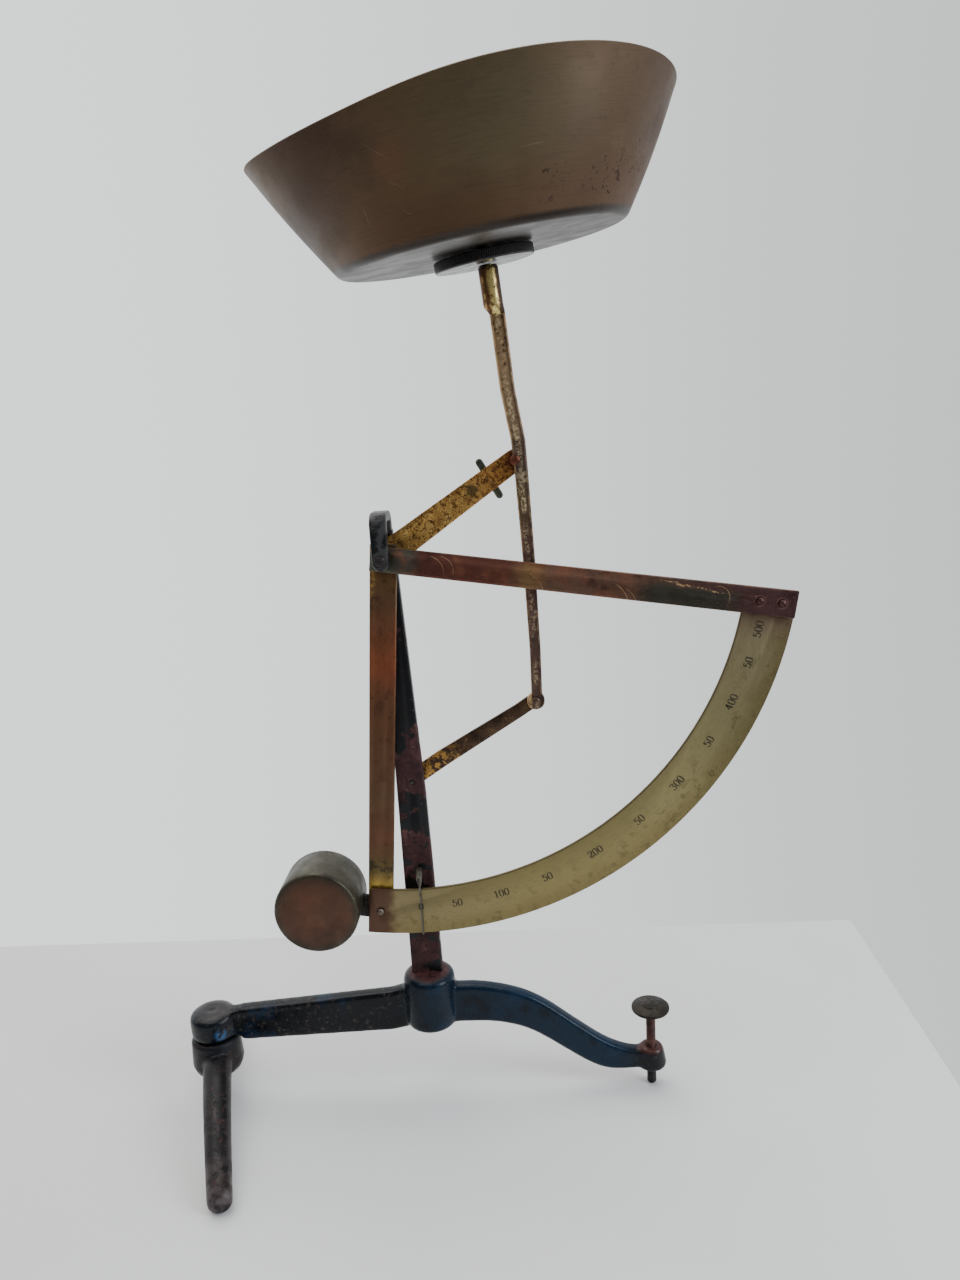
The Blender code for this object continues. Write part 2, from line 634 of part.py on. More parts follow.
def fork_loop():
    """(y, z) outline of the strap that goes up behind the pivot, over it and down in front."""
    front, back = FORK_LEG_Y[0], POST_Y[1]
    top = PIVOT.z + FORK_TOP
    crown = top - FORK_CROWN
    outer, inner = 0.0052, 0.0016
    loop = [(back, PIVOT.z + 0.002)]
    loop += quarter((back - outer, top - outer), outer, 0, 6)
    loop += quarter((front + outer, top - outer), outer, math.pi / 2, 6)
    loop += [(front, PIVOT.z - 0.001), (FORK_LEG_Y[1], PIVOT.z - 0.001)]
    loop += quarter((FORK_LEG_Y[1] + inner, crown - inner), inner, math.pi, -4)
    loop += quarter((POST_Y[0] - inner, crown - inner), inner, math.pi / 2, -4)
    return loop + [(POST_Y[0], PIVOT.z + 0.002)]


def make_post():
    """Flat tapering post with a fork over its top and a tenon in the base."""
    right = [(PIVOT.x + x, PIVOT.z + z) for x, z in POST_RIGHT[:-1]]
    left = [(PIVOT.x + x, PIVOT.z + z) for x, z in POST_LEFT[1:]]
    edges = (PIVOT.x + POST_RIGHT[-1][0], PIVOT.x + POST_LEFT[0][0])
    tenon = (edges[0] - POST_SHOULDER, edges[1] + POST_SHOULDER)
    shoulder, foot = HUB_Z[1] + GAP, PIVOT.z + POST_TENON
    outline = right + [(edges[0], shoulder), (tenon[0], shoulder), (tenon[0], foot)]
    outline += [(tenon[1], foot), (tenon[1], shoulder), (edges[1], shoulder)] + left
    mesh = bmesh.new()
    plate(mesh, outline, *POST_Y)
    post = bevel(finish_mesh("post", mesh), 0.0005)

    mesh = bmesh.new()
    sides = []
    for x in (PIVOT.x - FORK_HALF, PIVOT.x + FORK_HALF):
        sides.append([mesh.verts.new((x, y, z)) for y, z in fork_loop()])
    bridge(mesh, sides)
    fork = bevel(finish_mesh("join_fork", mesh), 0.0006, 2)
    boolean(post, helper(fork), "UNION")
    tip = Vector((PIVOT.x, FORK_LEG_Y[1], PIVOT.z - 0.0006))
    thick = FORK_LEG_Y[1] - FORK_LEG_Y[0]
    profile = ((0, 0), (0.0031, 0), (0.0031, thick - 0.0005), (0.0026, thick), (0, thick))
    boolean(post, helper(lathe("join_fork_tip", profile, tip, FRONT, PIVOT, 24)), "UNION")
    boolean(post, drill("cut_pivot_pin", PIVOT, PIVOT_PIN_RADIUS + GAP), "DIFFERENCE")
    boolean(post, bpy.data.objects["cut_link_pin"], "DIFFERENCE")
    paint(post, BLACK, 0.5, 0.3)


def make_pointer():
    """Wire that leaves the post, comes forward over the arc and hangs down in front of it."""
    x, y = PIVOT.x + POINTER_X, POINTER_Y
    top = PIVOT.z - ARC_INNER + 0.0052
    route = (
        (Vector((x - 0.0006, POST_Y[0] - GAP - 0.0002, top + 0.0006)), 0.0011),
        (Vector((x - 0.0004, 0.0010, top)), 0.0012),
        (Vector((x - 0.0002, y + 0.0014, top - 0.0012)), 0.0012),
        (Vector((x, y, top - 0.0040)), POINTER_RADIUS),
        (Vector((x, y, PIVOT.z - 0.1405)), POINTER_RADIUS),
        (Vector((x, y, PIVOT.z - ARC_OUTER)), POINTER_RADIUS),
    )
    mesh = bmesh.new()
    steps = 12
    rings = []
    for n, (point, radius) in enumerate(route):
        before, after = route[max(n - 1, 0)][0], route[min(n + 1, len(route) - 1)][0]
        frame = UP.rotation_difference((after - before).normalized()).to_matrix()
        ring = []
        for k in range(steps):
            angle = 2 * math.pi * k / steps
            spoke = Vector((radius * math.cos(angle), radius * math.sin(angle), 0))
            ring.append(mesh.verts.new(point + frame @ spoke))
        rings.append(ring)
    bridge(mesh, rings)
    paint(finish_mesh("pointer", mesh), STEEL, 0.35, 0.9)


def make_pivot_pins():
    front, back = FORK_LEG_Y[0] - GAP, POST_Y[1] + GAP
    pivot_pin = pin("main_pivot_pin", PIVOT, PIVOT_PIN_RADIUS, front, back, 0.0021, PIVOT, 0.0026)
    paint(pivot_pin, BLACK, 0.45, 0.6)
    washer = ((0.0016, 0), (0.0029, 0), (0.0029, 0.0006), (0.0016, 0.0006))
    at = Vector((PIVOT.x, FORK_LEG_Y[1] + GAP + 0.0006, PIVOT.z))
    paint(lathe("pivot_washer", washer, at, FRONT, PIVOT, 24), BRASS, 0.4, 0.9)
    reach = LINK_POST_Y + LINK_THICK + GAP - POST_Y[0]
    profile = (
        (0, 0), (PIN_RADIUS, 0), (PIN_RADIUS, reach),
        (0.0019, reach), (0.0016, reach + 0.0009), (0, reach + 0.0010),
    )
    base = Vector((PIN_D.x, POST_Y[0], PIN_D.z))
    paint(lathe("link_pin", profile, base, -FRONT, PIN_D, 20), BLACK, 0.5, 0.6)


# --- base -------------------------------------------------------------------


def bar_outline(hub_x, foot_x):
    """(x, z) outline of the straight bar from the foot's boss to the hub."""
    low, clear = BOSS_Z[0], FOOT_BOSS_RADIUS + 0.0010
    under = [(foot_x + 0.002, low), (foot_x + clear, low), (foot_x + clear + 0.001, low - 0.0018)]
    under += [(hub_x - 0.016, 0.0295), (hub_x - 0.009, 0.0311), (hub_x + 0.002, 0.0336)]
    top = [(hub_x + 0.002, 0.0500), (hub_x - 0.010, 0.0483), (hub_x - 0.016, 0.0466)]
    return under + top + [(foot_x + 0.012, 0.0407), (foot_x + 0.002, 0.0391)]


def arm_outline():
    """(x, z) outline of the curved arm from the hub down to the screw: its top line, then its underside."""
    top = [(0.006, 0.0478), (0.022, 0.0486), (0.038, 0.0455), (0.050, 0.0398), (0.062, 0.0305)]
    top += [(0.0745, 0.0212), (0.084, 0.0170), (0.092, 0.0160)]
    under = [(0.092, 0.0090), (0.082, 0.0080), (0.074, 0.0090), (0.066, 0.0130), (0.053, 0.0222)]
    under += [(0.045, 0.0273), (0.037, 0.0304), (0.026, 0.0322), (0.006, 0.0322)]
    return [(PIVOT.x + x, z) for x, z in ease(top) + ease(under)]


def boss(casting, name, x, radii, heights, soft):
    """Joins an upright round boss with soft edges to the casting."""
    low, high = heights
    near = soft * 0.3
    profile = [(0, low), (radii[0] - soft, low), (radii[0] - near, low + near), (radii[0], low + soft)]
    profile += [(radii[1], high - soft), (radii[1] - near, high - near), (radii[1] - soft, high), (0, high)]
    part = lathe(name, profile, Vector((x, BASE_Y, 0)), UP, (x, BASE_Y, 0), 36)
    boolean(casting, helper(part), "UNION")


def make_base():
    y = BASE_Y
    hub_x, foot_x, screw_x = PIVOT.x + HUB_X, PIVOT.x + FOOT_X, PIVOT.x + SCREW_X
    mesh = bmesh.new()
    plate(mesh, bar_outline(hub_x, foot_x), y - BAR_HALF_DEPTH, y + BAR_HALF_DEPTH)
    casting = bevel(finish_mesh("base_casting", mesh, (hub_x, y, 0)), 0.0008, 2, 30)

    half = BAR_HALF_DEPTH - 0.0002
    mesh = bmesh.new()
    plate(mesh, arm_outline(), y - half, y + half)
    arm = bevel(finish_mesh("join_curved_arm", mesh), 0.0008, 2, 30)
    boolean(casting, helper(arm), "UNION")
    boss(casting, "join_hub", hub_x, (HUB_RADIUS, HUB_RADIUS), HUB_Z, 0.0016)
    boss(casting, "join_foot_boss", foot_x, (BOSS_RADIUS, BOSS_RADIUS), BOSS_Z, 0.0014)
    boss(casting, "join_screw_boss", screw_x, SCREW_BOSS_RADII, SCREW_BOSS_Z, 0.0010)
    foot_drill = drill("cut_foot_pin", (foot_x, y, BOSS_Z[0]), FOOT_PIN_RADIUS + RUN, 0.060, UP)
    boolean(casting, foot_drill, "DIFFERENCE")
    screw_at = (screw_x, y, SCREW_BOSS_Z[0])
    boolean(casting, drill("cut_screw", screw_at, SCREW_RADIUS + RUN, 0.030, UP, 24), "DIFFERENCE")

    low, high = PIVOT.z + POST_TENON - GAP, HUB_Z[1] + 0.010
    left = PIVOT.x + POST_LEFT[0][0] + POST_SHOULDER - GAP
    right = PIVOT.x + POST_RIGHT[-1][0] - POST_SHOULDER + GAP
    mesh = bmesh.new()
    plate(mesh, [(left, low), (right, low), (right, high), (left, high)], POST_Y[0] - GAP, POST_Y[1] + GAP)
    boolean(casting, helper(finish_mesh("cut_post_socket", mesh)), "DIFFERENCE")
    paint(casting, IRON, 0.35, 0.2)

    reach = BOSS_Z[1] - 0.0004 - FOOT_BOSS_Z[0] + GAP
    profile = [
        (0, -0.0014), (0.0036, -0.0014), (0.0044, -0.0006), (0.0044, 0), (FOOT_PIN_RADIUS, 0),
        (FOOT_PIN_RADIUS, reach), (0.0008, reach), (0.0006, reach - 0.0008), (0, reach - 0.0008),
    ]
    foot_pin = lathe("foot_pivot_pin", profile, (foot_x, y, FOOT_BOSS_Z[0] - GAP), UP, (foot_x, y, 0), 24)
    paint(foot_pin, RUST, 0.6, 0.4)


def leg_rings(mesh, centre, heading, reach, bow_side):
    """Round cross-sections of one leg, from inside the foot's boss down to its rounded end on the floor."""
    side = Vector((heading.y, -heading.x, 0.0))
    root, tip = LEG_RADII
    stations = 9
    sections = []
    for n in range(stations + 1):
        t = n / stations
        height = tip + (LEG_ROOT_Z - tip) * (1 - t**1.5)
        sections.append((reach * t, LEG_BOW * math.sin(math.pi * t), height, root + (tip - root) * t))
    sections += [(reach + tip * 0.30, 0, tip, tip * 0.86), (reach + tip * 0.45, 0, tip, tip * 0.45)]
    steps = 16
    rings = []
    for along, bow, height, radius in sections:
        spot = centre + heading * along + side * (bow * bow_side) + UP * height
        ring = []
        for k in range(steps):
            angle = 2 * math.pi * k / steps
            spoke = side * (radius * math.cos(angle)) + UP * (radius * math.sin(angle))
            ring.append(mesh.verts.new(spot + spoke))
        rings.append(ring)
    return rings


def make_foot():
    """Foot that swivels under the end of the bar, its two legs spreading down to the floor."""
    centre = Vector((PIVOT.x + FOOT_X, BASE_Y, 0.0))
    low, high = FOOT_BOSS_Z
    radius, soft = FOOT_BOSS_RADIUS, 0.0030
    profile = [
        (0, low), (radius - soft, low), (radius - soft * 0.35, low + soft * 0.55), (radius, low + soft * 1.5),
        (radius - 0.0006, high - 0.0010), (radius - 0.0016, high), (0, high),
    ]
    foot = lathe("swivel_foot", profile, centre, UP, centre, 40)
    turn = math.radians(FOOT_TURN_DEG)
    for name, way in (("join_front_leg", -1), ("join_rear_leg", 1)):
        heading = Vector((-way * math.sin(turn), way * math.cos(turn), 0.0))
        mesh = bmesh.new()
        bridge(mesh, leg_rings(mesh, centre, heading, LEG_REACH[name], -way))
        boolean(foot, helper(finish_mesh(name, mesh, centre)), "UNION")
    bore = drill("cut_foot_bore", centre + UP * low, FOOT_PIN_RADIUS + RUN, 0.060, UP)
    boolean(foot, bore, "DIFFERENCE")
    paint(foot, (0.05, 0.035, 0.035), 0.4, 0.4)


def make_levelling_screw():
    at = Vector((PIVOT.x + SCREW_X, BASE_Y, 0.0))
    top = SCREW_HEAD_Z - GAP
    shank = [(0, 0), (SCREW_RADIUS - 0.0006, 0), (SCREW_RADIUS, 0.0008), (SCREW_RADIUS, top), (0, top)]
    paint(lathe("levelling_screw", shank, at, UP, at, 20), RUST, 0.6, 0.4)
    edge = SCREW_HEAD_RADIUS - 0.0004
    head = [
        (0, 0), (0.0030, 0), (edge, 0.0010), (SCREW_HEAD_RADIUS, 0.0013), (SCREW_HEAD_RADIUS, 0.0022),
        (edge, 0.0024), (0.0032, 0.0029), (0.0030, 0.0033), (0, 0.0034),
    ]
    paint(lathe("levelling_head", head, at + UP * SCREW_HEAD_Z, UP, at, 36), (0.07, 0.06, 0.04), 0.45, 0.7)


def main():
    clear_scene()
    make_quadrant()
    make_clip()
    make_counterweight()
    make_pan_rod()
    make_link()
    make_pan()
    make_post()
    make_pointer()
    make_pivot_pins()
    make_base()
    make_foot()
    make_levelling_screw()


main()
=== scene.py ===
"""Looks of the quadrant weighing scale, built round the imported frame.

Metres, in the row frame: +Z up, -Y to the front."""

import json
import math

import bmesh
import bpy
from mathutils import Euler, Matrix, Vector


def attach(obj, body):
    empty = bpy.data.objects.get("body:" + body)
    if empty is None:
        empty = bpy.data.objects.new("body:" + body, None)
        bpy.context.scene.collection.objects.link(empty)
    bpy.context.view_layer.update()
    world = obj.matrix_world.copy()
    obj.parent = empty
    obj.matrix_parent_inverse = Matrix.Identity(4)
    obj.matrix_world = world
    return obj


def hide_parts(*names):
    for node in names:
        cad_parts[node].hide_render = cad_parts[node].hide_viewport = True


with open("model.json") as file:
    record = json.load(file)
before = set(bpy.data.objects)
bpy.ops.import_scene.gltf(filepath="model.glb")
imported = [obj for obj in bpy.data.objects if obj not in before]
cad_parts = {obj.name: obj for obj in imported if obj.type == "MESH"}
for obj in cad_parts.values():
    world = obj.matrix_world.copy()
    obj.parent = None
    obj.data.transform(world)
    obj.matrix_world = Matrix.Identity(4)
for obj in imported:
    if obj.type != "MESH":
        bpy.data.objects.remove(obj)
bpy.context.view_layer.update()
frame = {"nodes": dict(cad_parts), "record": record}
BODIES = frame["record"]["behaviour"]["bodies"]

ORIGIN, RIGHT, BACK, UP = (0, 0, 0), (1, 0, 0), (0, 1, 0), (0, 0, 1)

# Places, taken from the CAD's joints and arms
PIVOT = Vector((-0.02021, 0.0, 0.227))
LONG_ARM_DEG, DOWN_ARM_DEG, LEVER_DEG = -9.3, -95.1, 33.1
DIAL_FRONT = -0.0028
FIGURE_RADIUS, FIGURE_HEIGHT, FIGURE_PITCH = 0.1385, 0.0029, 0.0021
LONG_TICK, SHORT_TICK, TICK_END, TICK_WIDTH = 0.1462, 0.1474, 0.1493, 0.00016
HUB, LEFT_BOSS, SCREW_BOSS = (-0.01661, 0.006), (-0.10921, 0.006), (0.07359, 0.006)

# Angles of the dial's marks for 0, 50, 100 and so on up to 500, from straight down
MARK_DEG = (1.6, 7.6, 15.0, 23.0, 31.8, 40.6, 49.0, 57.3, 64.4, 71.0, 76.3)

# Rod: (x, z) of its middle from the pivot; and the ferrule on it
ROD_LINE = ((0.0534, -0.0569), (0.0536, -0.0369), (0.0529, -0.0034), (0.0517, 0.0288), (0.0511, 0.0393),
            (0.0483, 0.0565), (0.0461, 0.0823))
SOCKET_BASE = PIVOT + Vector((0.0451, 0.0, 0.0830))
SOCKET_AXIS = Vector((-math.sin(math.radians(5.4)), 0.0, math.cos(math.radians(5.4))))
SOCKET_LENGTH, SOCKET_RADIUS, SOCKET_BORE, SOCKET_STEPS = 0.0144, 0.00345, 0.0021, 48

# Pan: the same surface as the CAD's, with more steps round it
PAN_BASE = PIVOT + Vector((0.0422, 0.0, 0.1026))
PAN_MARKS = PIVOT + Vector((0.0418, 0.0, 0.1040))
PAN_NOD = Matrix.Rotation(math.radians(3.9), 3, "X") @ Vector(UP)
PAN_AXIS = Matrix.Rotation(math.radians(-8.0), 3, "Y") @ PAN_NOD
DISC_AXIS = Matrix.Rotation(math.radians(-8.6), 3, "Y") @ PAN_NOD
RIM_RADIUS, RIM_SHIFT, RIM_SLOPE, PAN_DEPTH = 0.0588, 0.0116, (0.002, -0.1065), 0.0355
LIP_REACH, LIP_RISE, REACH_SPREAD, RISE_SPREAD = 0.0250, 0.0032, 0.720, 0.300
FLAT_RADIUS, CORNER, SHEET, FLANK_BULGE, RIVET_HOLE = 0.0475, 0.0032, 0.0006, 0.0007, 0.0019
RIM_ROUND = 0.00022
PAN_STEPS, FLAT_STEPS, CORNER_STEPS, FLANK_STEPS = 288, 8, 9, 14

# Quadrant: the rod's pin on the lever, the front faces of lever and long arm, and the weight's middle
LEVER_REACH = 0.0593
LEVER_FRONT, ARM_FRONT = Vector((0, 0.0015, 0)), Vector((0, -0.0046, 0))
WEIGHT_CENTRE = PIVOT + Vector((-0.0359, 0.0, -0.1351))

# Castings: the left boss and the mound on the hub
BOSS_RADIUS, BOSS_SHOULDER, BOSS_TOP = 0.0104, 0.0335, 0.0398
MOUND_RADIUS, HUB_TOP = 0.0084, 0.0545

# How far the edges of the small pieces are rounded
SMALL_EDGE = 0.00012

# Table, light and camera
TABLE_LEFT, TABLE_RIGHT, TABLE_FRONT, TABLE_BACK, TABLE_THICK = -1.2, 0.197, -0.42, 0.131, 0.030
ROOM_FRONT, ROOM_BACK = (0.18, 0.18, 0.19, 1), (1.00, 1.03, 1.04, 1)
ROOM_RIGHT, ROOM_LEFT = (0.84, 0.83, 0.83, 1), (1.38, 1.38, 1.38, 1)
CAMERA_PLACE, CAMERA_LENS = (0.0323, -0.3428, 0.2736), 26.72
CAMERA_DOWN, CAMERA_TURN, CAMERA_ROLL = map(math.radians, (12.965, 3.198, -3.5))


def linear(red, green, blue):
    """Scene-linear colour of three display values from 0 to 255."""
    parts = [v / 255 for v in (red, green, blue)]
    return tuple(p / 12.92 if p <= 0.04045 else ((p + 0.055) / 1.055) ** 2.4 for p in parts) + (1.0,)


def grey(level):
    return (level, level, level, 1.0)


def on_pan(x, y, z):
    return PAN_MARKS + Vector((x, y, z))


def polar(degrees):
    """Unit vector in the front plane, at this angle above the right."""
    return Vector((math.cos(math.radians(degrees)), 0.0, math.sin(math.radians(degrees))))


# --- materials ---------------------------------------------------------------


def add_node(tree, kind, inputs=(), **settings):
    """A node with these settings; an input is linked if it is given a socket, and set otherwise."""
    made = tree.nodes.new(kind)
    for key, value in settings.items():
        setattr(made, key, value)
    for key, value in dict(inputs).items():
        if isinstance(value, bpy.types.NodeSocket):
            tree.links.new(value, made.inputs[key])
        else:
            made.inputs[key].default_value = value
    return made


class Finish:
    """A material's node tree, put together from masks in the piece's own coordinates.

    colour holds its colour so far: a finish function starts it and lays stains, wear, marks and, in places,
    painted light and shade over it."""

    def __init__(self, name):
        self.material = bpy.data.materials.new(name)
        self.material.use_nodes = True
        self.tree = self.material.node_tree
        self.tree.nodes.clear()
        self.place = self.node("ShaderNodeTexCoord").outputs["Object"]
        self.colour = None

    def node(self, kind, inputs=(), **settings):
        return add_node(self.tree, kind, inputs, **settings)

    # values

    def math(self, operation, *values, clamp=False):
        made = self.node("ShaderNodeMath", enumerate(values), operation=operation, use_clamp=clamp)
        return made.outputs[0]

    def scaled(self, value, share):
        return self.math("MULTIPLY", value, share)

    def plus(self, a, b):
        return self.math("ADD", a, b)

    def minus(self, a, b):
        return self.math("SUBTRACT", a, b)

    def less(self, value):
        return self.math("SUBTRACT", 1.0, value, clamp=True)

    def times(self, *values):
        total = values[0]
        for value in values[1:]:
            total = self.math("MULTIPLY", total, value, clamp=True)
        return total

    def most(self, *values):
        total = values[0]
        for value in values[1:]:
            total = self.math("MAXIMUM", total, value)
        return total

    def fade(self, value, low, high, start=0.0, end=1.0):
        """0 to 1 as value goes from low to high; low may be the larger one."""
        given = {0: value, 1: low, 2: high, 3: start, 4: end}
        return self.node("ShaderNodeMapRange", given, interpolation_type="SMOOTHSTEP").outputs[0]

    # places

    def vector(self, operation, a, b):
        return self.node("ShaderNodeVectorMath", {0: a, 1: b}, operation=operation)

    def along(self, origin, direction):
        gap = self.vector("SUBTRACT", self.place, tuple(origin)).outputs[0]
        return self.vector("DOT_PRODUCT", gap, tuple(direction)).outputs[1]

    def distance(self, centre):
        return self.vector("DISTANCE", self.place, tuple(centre)).outputs[1]

    def facing(self, direction):
        """1 where the surface faces this way, -1 where it faces the other way."""
        normal = self.node("ShaderNodeNewGeometry").outputs["Normal"]
        return self.vector("DOT_PRODUCT", normal, tuple(direction)).outputs[1]

    def stretched(self, *parts):
        """Coordinates for noise, each a (value, scale)."""
        given = {n: self.scaled(value, scale) for n, (value, scale) in enumerate(parts)}
        return self.node("ShaderNodeCombineXYZ", given).outputs[0]

    # patterns and masks

    def noise(self, scale, detail=4.0, rough=0.55, at=None, twist=0.0):
        given = {"Vector": at or self.place, "Scale": scale, "Detail": detail}
        given |= {"Roughness": rough, "Distortion": twist}
        return self.node("ShaderNodeTexNoise", given).outputs["Fac"]

    def speckle(self, low, high, *noise, **settings):
        """Patches of noise: 0 to 1 as it goes from low to high."""
        return self.fade(self.noise(*noise, **settings), low, high)

    def uneven(self, low, high, scale, detail=4.0):
        """A value that noise, which hardly leaves 0.35 to 0.65, moves between low and high."""
        return self.fade(self.noise(scale, detail), 0.35, 0.65, low, high)

    def cells(self, scale):
        return self.node("ShaderNodeTexVoronoi", {"Vector": self.place, "Scale": scale}).outputs["Distance"]

    def wander(self, value, size, scale, detail=4.0):
        """value moved about by up to size, so that a border along it is ragged."""
        shift = self.math("MULTIPLY_ADD", self.noise(scale, detail), 2 * size, -size)
        return self.plus(value, shift)

    def near(self, centre, radius, soft, ragged=0.0, scale=400.0):
        """1 within radius of centre, with an outline that noise makes ragged."""
        distance = self.distance(centre)
        if ragged:
            distance = self.wander(distance, ragged, scale, 3.0)
        return self.fade(distance, radius + soft, radius - soft)

    def band(self, value, low, high, soft):
        """1 where value is between low and high."""
        below, above = self.fade(value, low - soft, low + soft), self.fade(value, high + soft, high - soft)
        return self.times(below, above)

    def line(self, value, centre, width):
        """1 where value is within width of centre."""
        return self.fade(self.math("ABSOLUTE", self.minus(value, centre)), width, width * 0.3)

    def edges(self, radius):
        """1 along the piece's outer edges."""
        round_normal = self.node("ShaderNodeBevel", {"Radius": radius}, samples=4).outputs[0]
        true_normal = self.node("ShaderNodeNewGeometry").outputs["Normal"]
        agree = self.vector("DOT_PRODUCT", round_normal, true_normal).outputs[1]
        return self.fade(agree, 0.995, 0.90)

    # colours

    def mix(self, share, a, b, blend="MIX"):
        given = {0: share, 6: a, 7: b}
        return self.node("ShaderNodeMix", given, data_type="RGBA", blend_type=blend).outputs[2]

    def over(self, base, mask, share, *rgb):
        """base with this share of a colour where mask is 1."""
        return self.mix(self.times(mask, share), base, linear(*rgb))

    def lay(self, mask, share, *rgb):
        self.colour = self.over(self.colour, mask, share, *rgb)

    def wear(self, radius, patches, share, *rgb):
        """Lays a colour on stretches of the outer edges; patches are speckle's values."""
        self.lay(self.times(self.edges(radius), self.speckle(*patches)), share, *rgb)

    def ramp(self, value, low, high, stops):
        """Colours or greys along value; each stop is a place from 0 to 1 and one or three tones."""
        share = self.node("ShaderNodeMapRange", {0: value, 1: low, 2: high}).outputs[0]
        made = self.node("ShaderNodeValToRGB", {0: share})
        elements = made.color_ramp.elements
        while len(elements) < len(stops):
            elements.new(0.5)
        for element, (place, *tones) in zip(elements, stops):
            element.position = place
            element.color = linear(*tones) if len(tones) == 3 else grey(tones[0])
        return made.outputs[0]

    # the shader

    def bump(self, height, depth):
        return self.node("ShaderNodeBump", {"Strength": 1.0, "Distance": depth, "Height": height}).outputs[0]

    def done(self, rough, metal, normal, tone=1.0, shine=0.5):
        """The shader; tone scales the whole colour, and shine is the strength of plain reflections."""
        colour = self.mix(1.0, self.colour, grey(tone), "MULTIPLY")
        given = {"Base Color": colour, "Roughness": rough, "Metallic": metal, "Normal": normal}
        shader = self.node("ShaderNodeBsdfPrincipled", given | {"Specular IOR Level": shine})
        self.node("ShaderNodeOutputMaterial", {"Surface": shader.outputs[0]})
        return self.material


def mottled(s, base, dark, light, size):
    """base with darker and lighter clouds, and a fine grain in it."""
    clouds = s.noise(1 / size, 5.0, 0.6)
    colour = s.over(linear(*base), s.fade(clouds, 0.50, 0.30), 1.0, *dark)
    colour = s.over(colour, s.fade(clouds, 0.52, 0.72), 1.0, *light)
    grain = s.noise(9 / size, 6.0, 0.65)
    return s.over(colour, s.fade(grain, 0.44, 0.30, 0.0, 0.55), 1.0, *dark)


def strip_bump(s, direction):
    """Faint lines along a rolled strip, with small pits; gives the bump and the pits."""
    along = s.along(PIVOT, direction)
    flat = Vector(direction).cross(Vector(BACK))
    across = s.along(PIVOT, flat)
    lines = s.noise(1.0, 3.0, 0.6, s.stretched((along, 60.0), (across, 2500.0)))
    pits = s.speckle(0.42, 0.30, 1500, 4.0, 0.6)
    return s.bump(s.minus(s.scaled(lines, 0.35), pits), 0.00006), pits


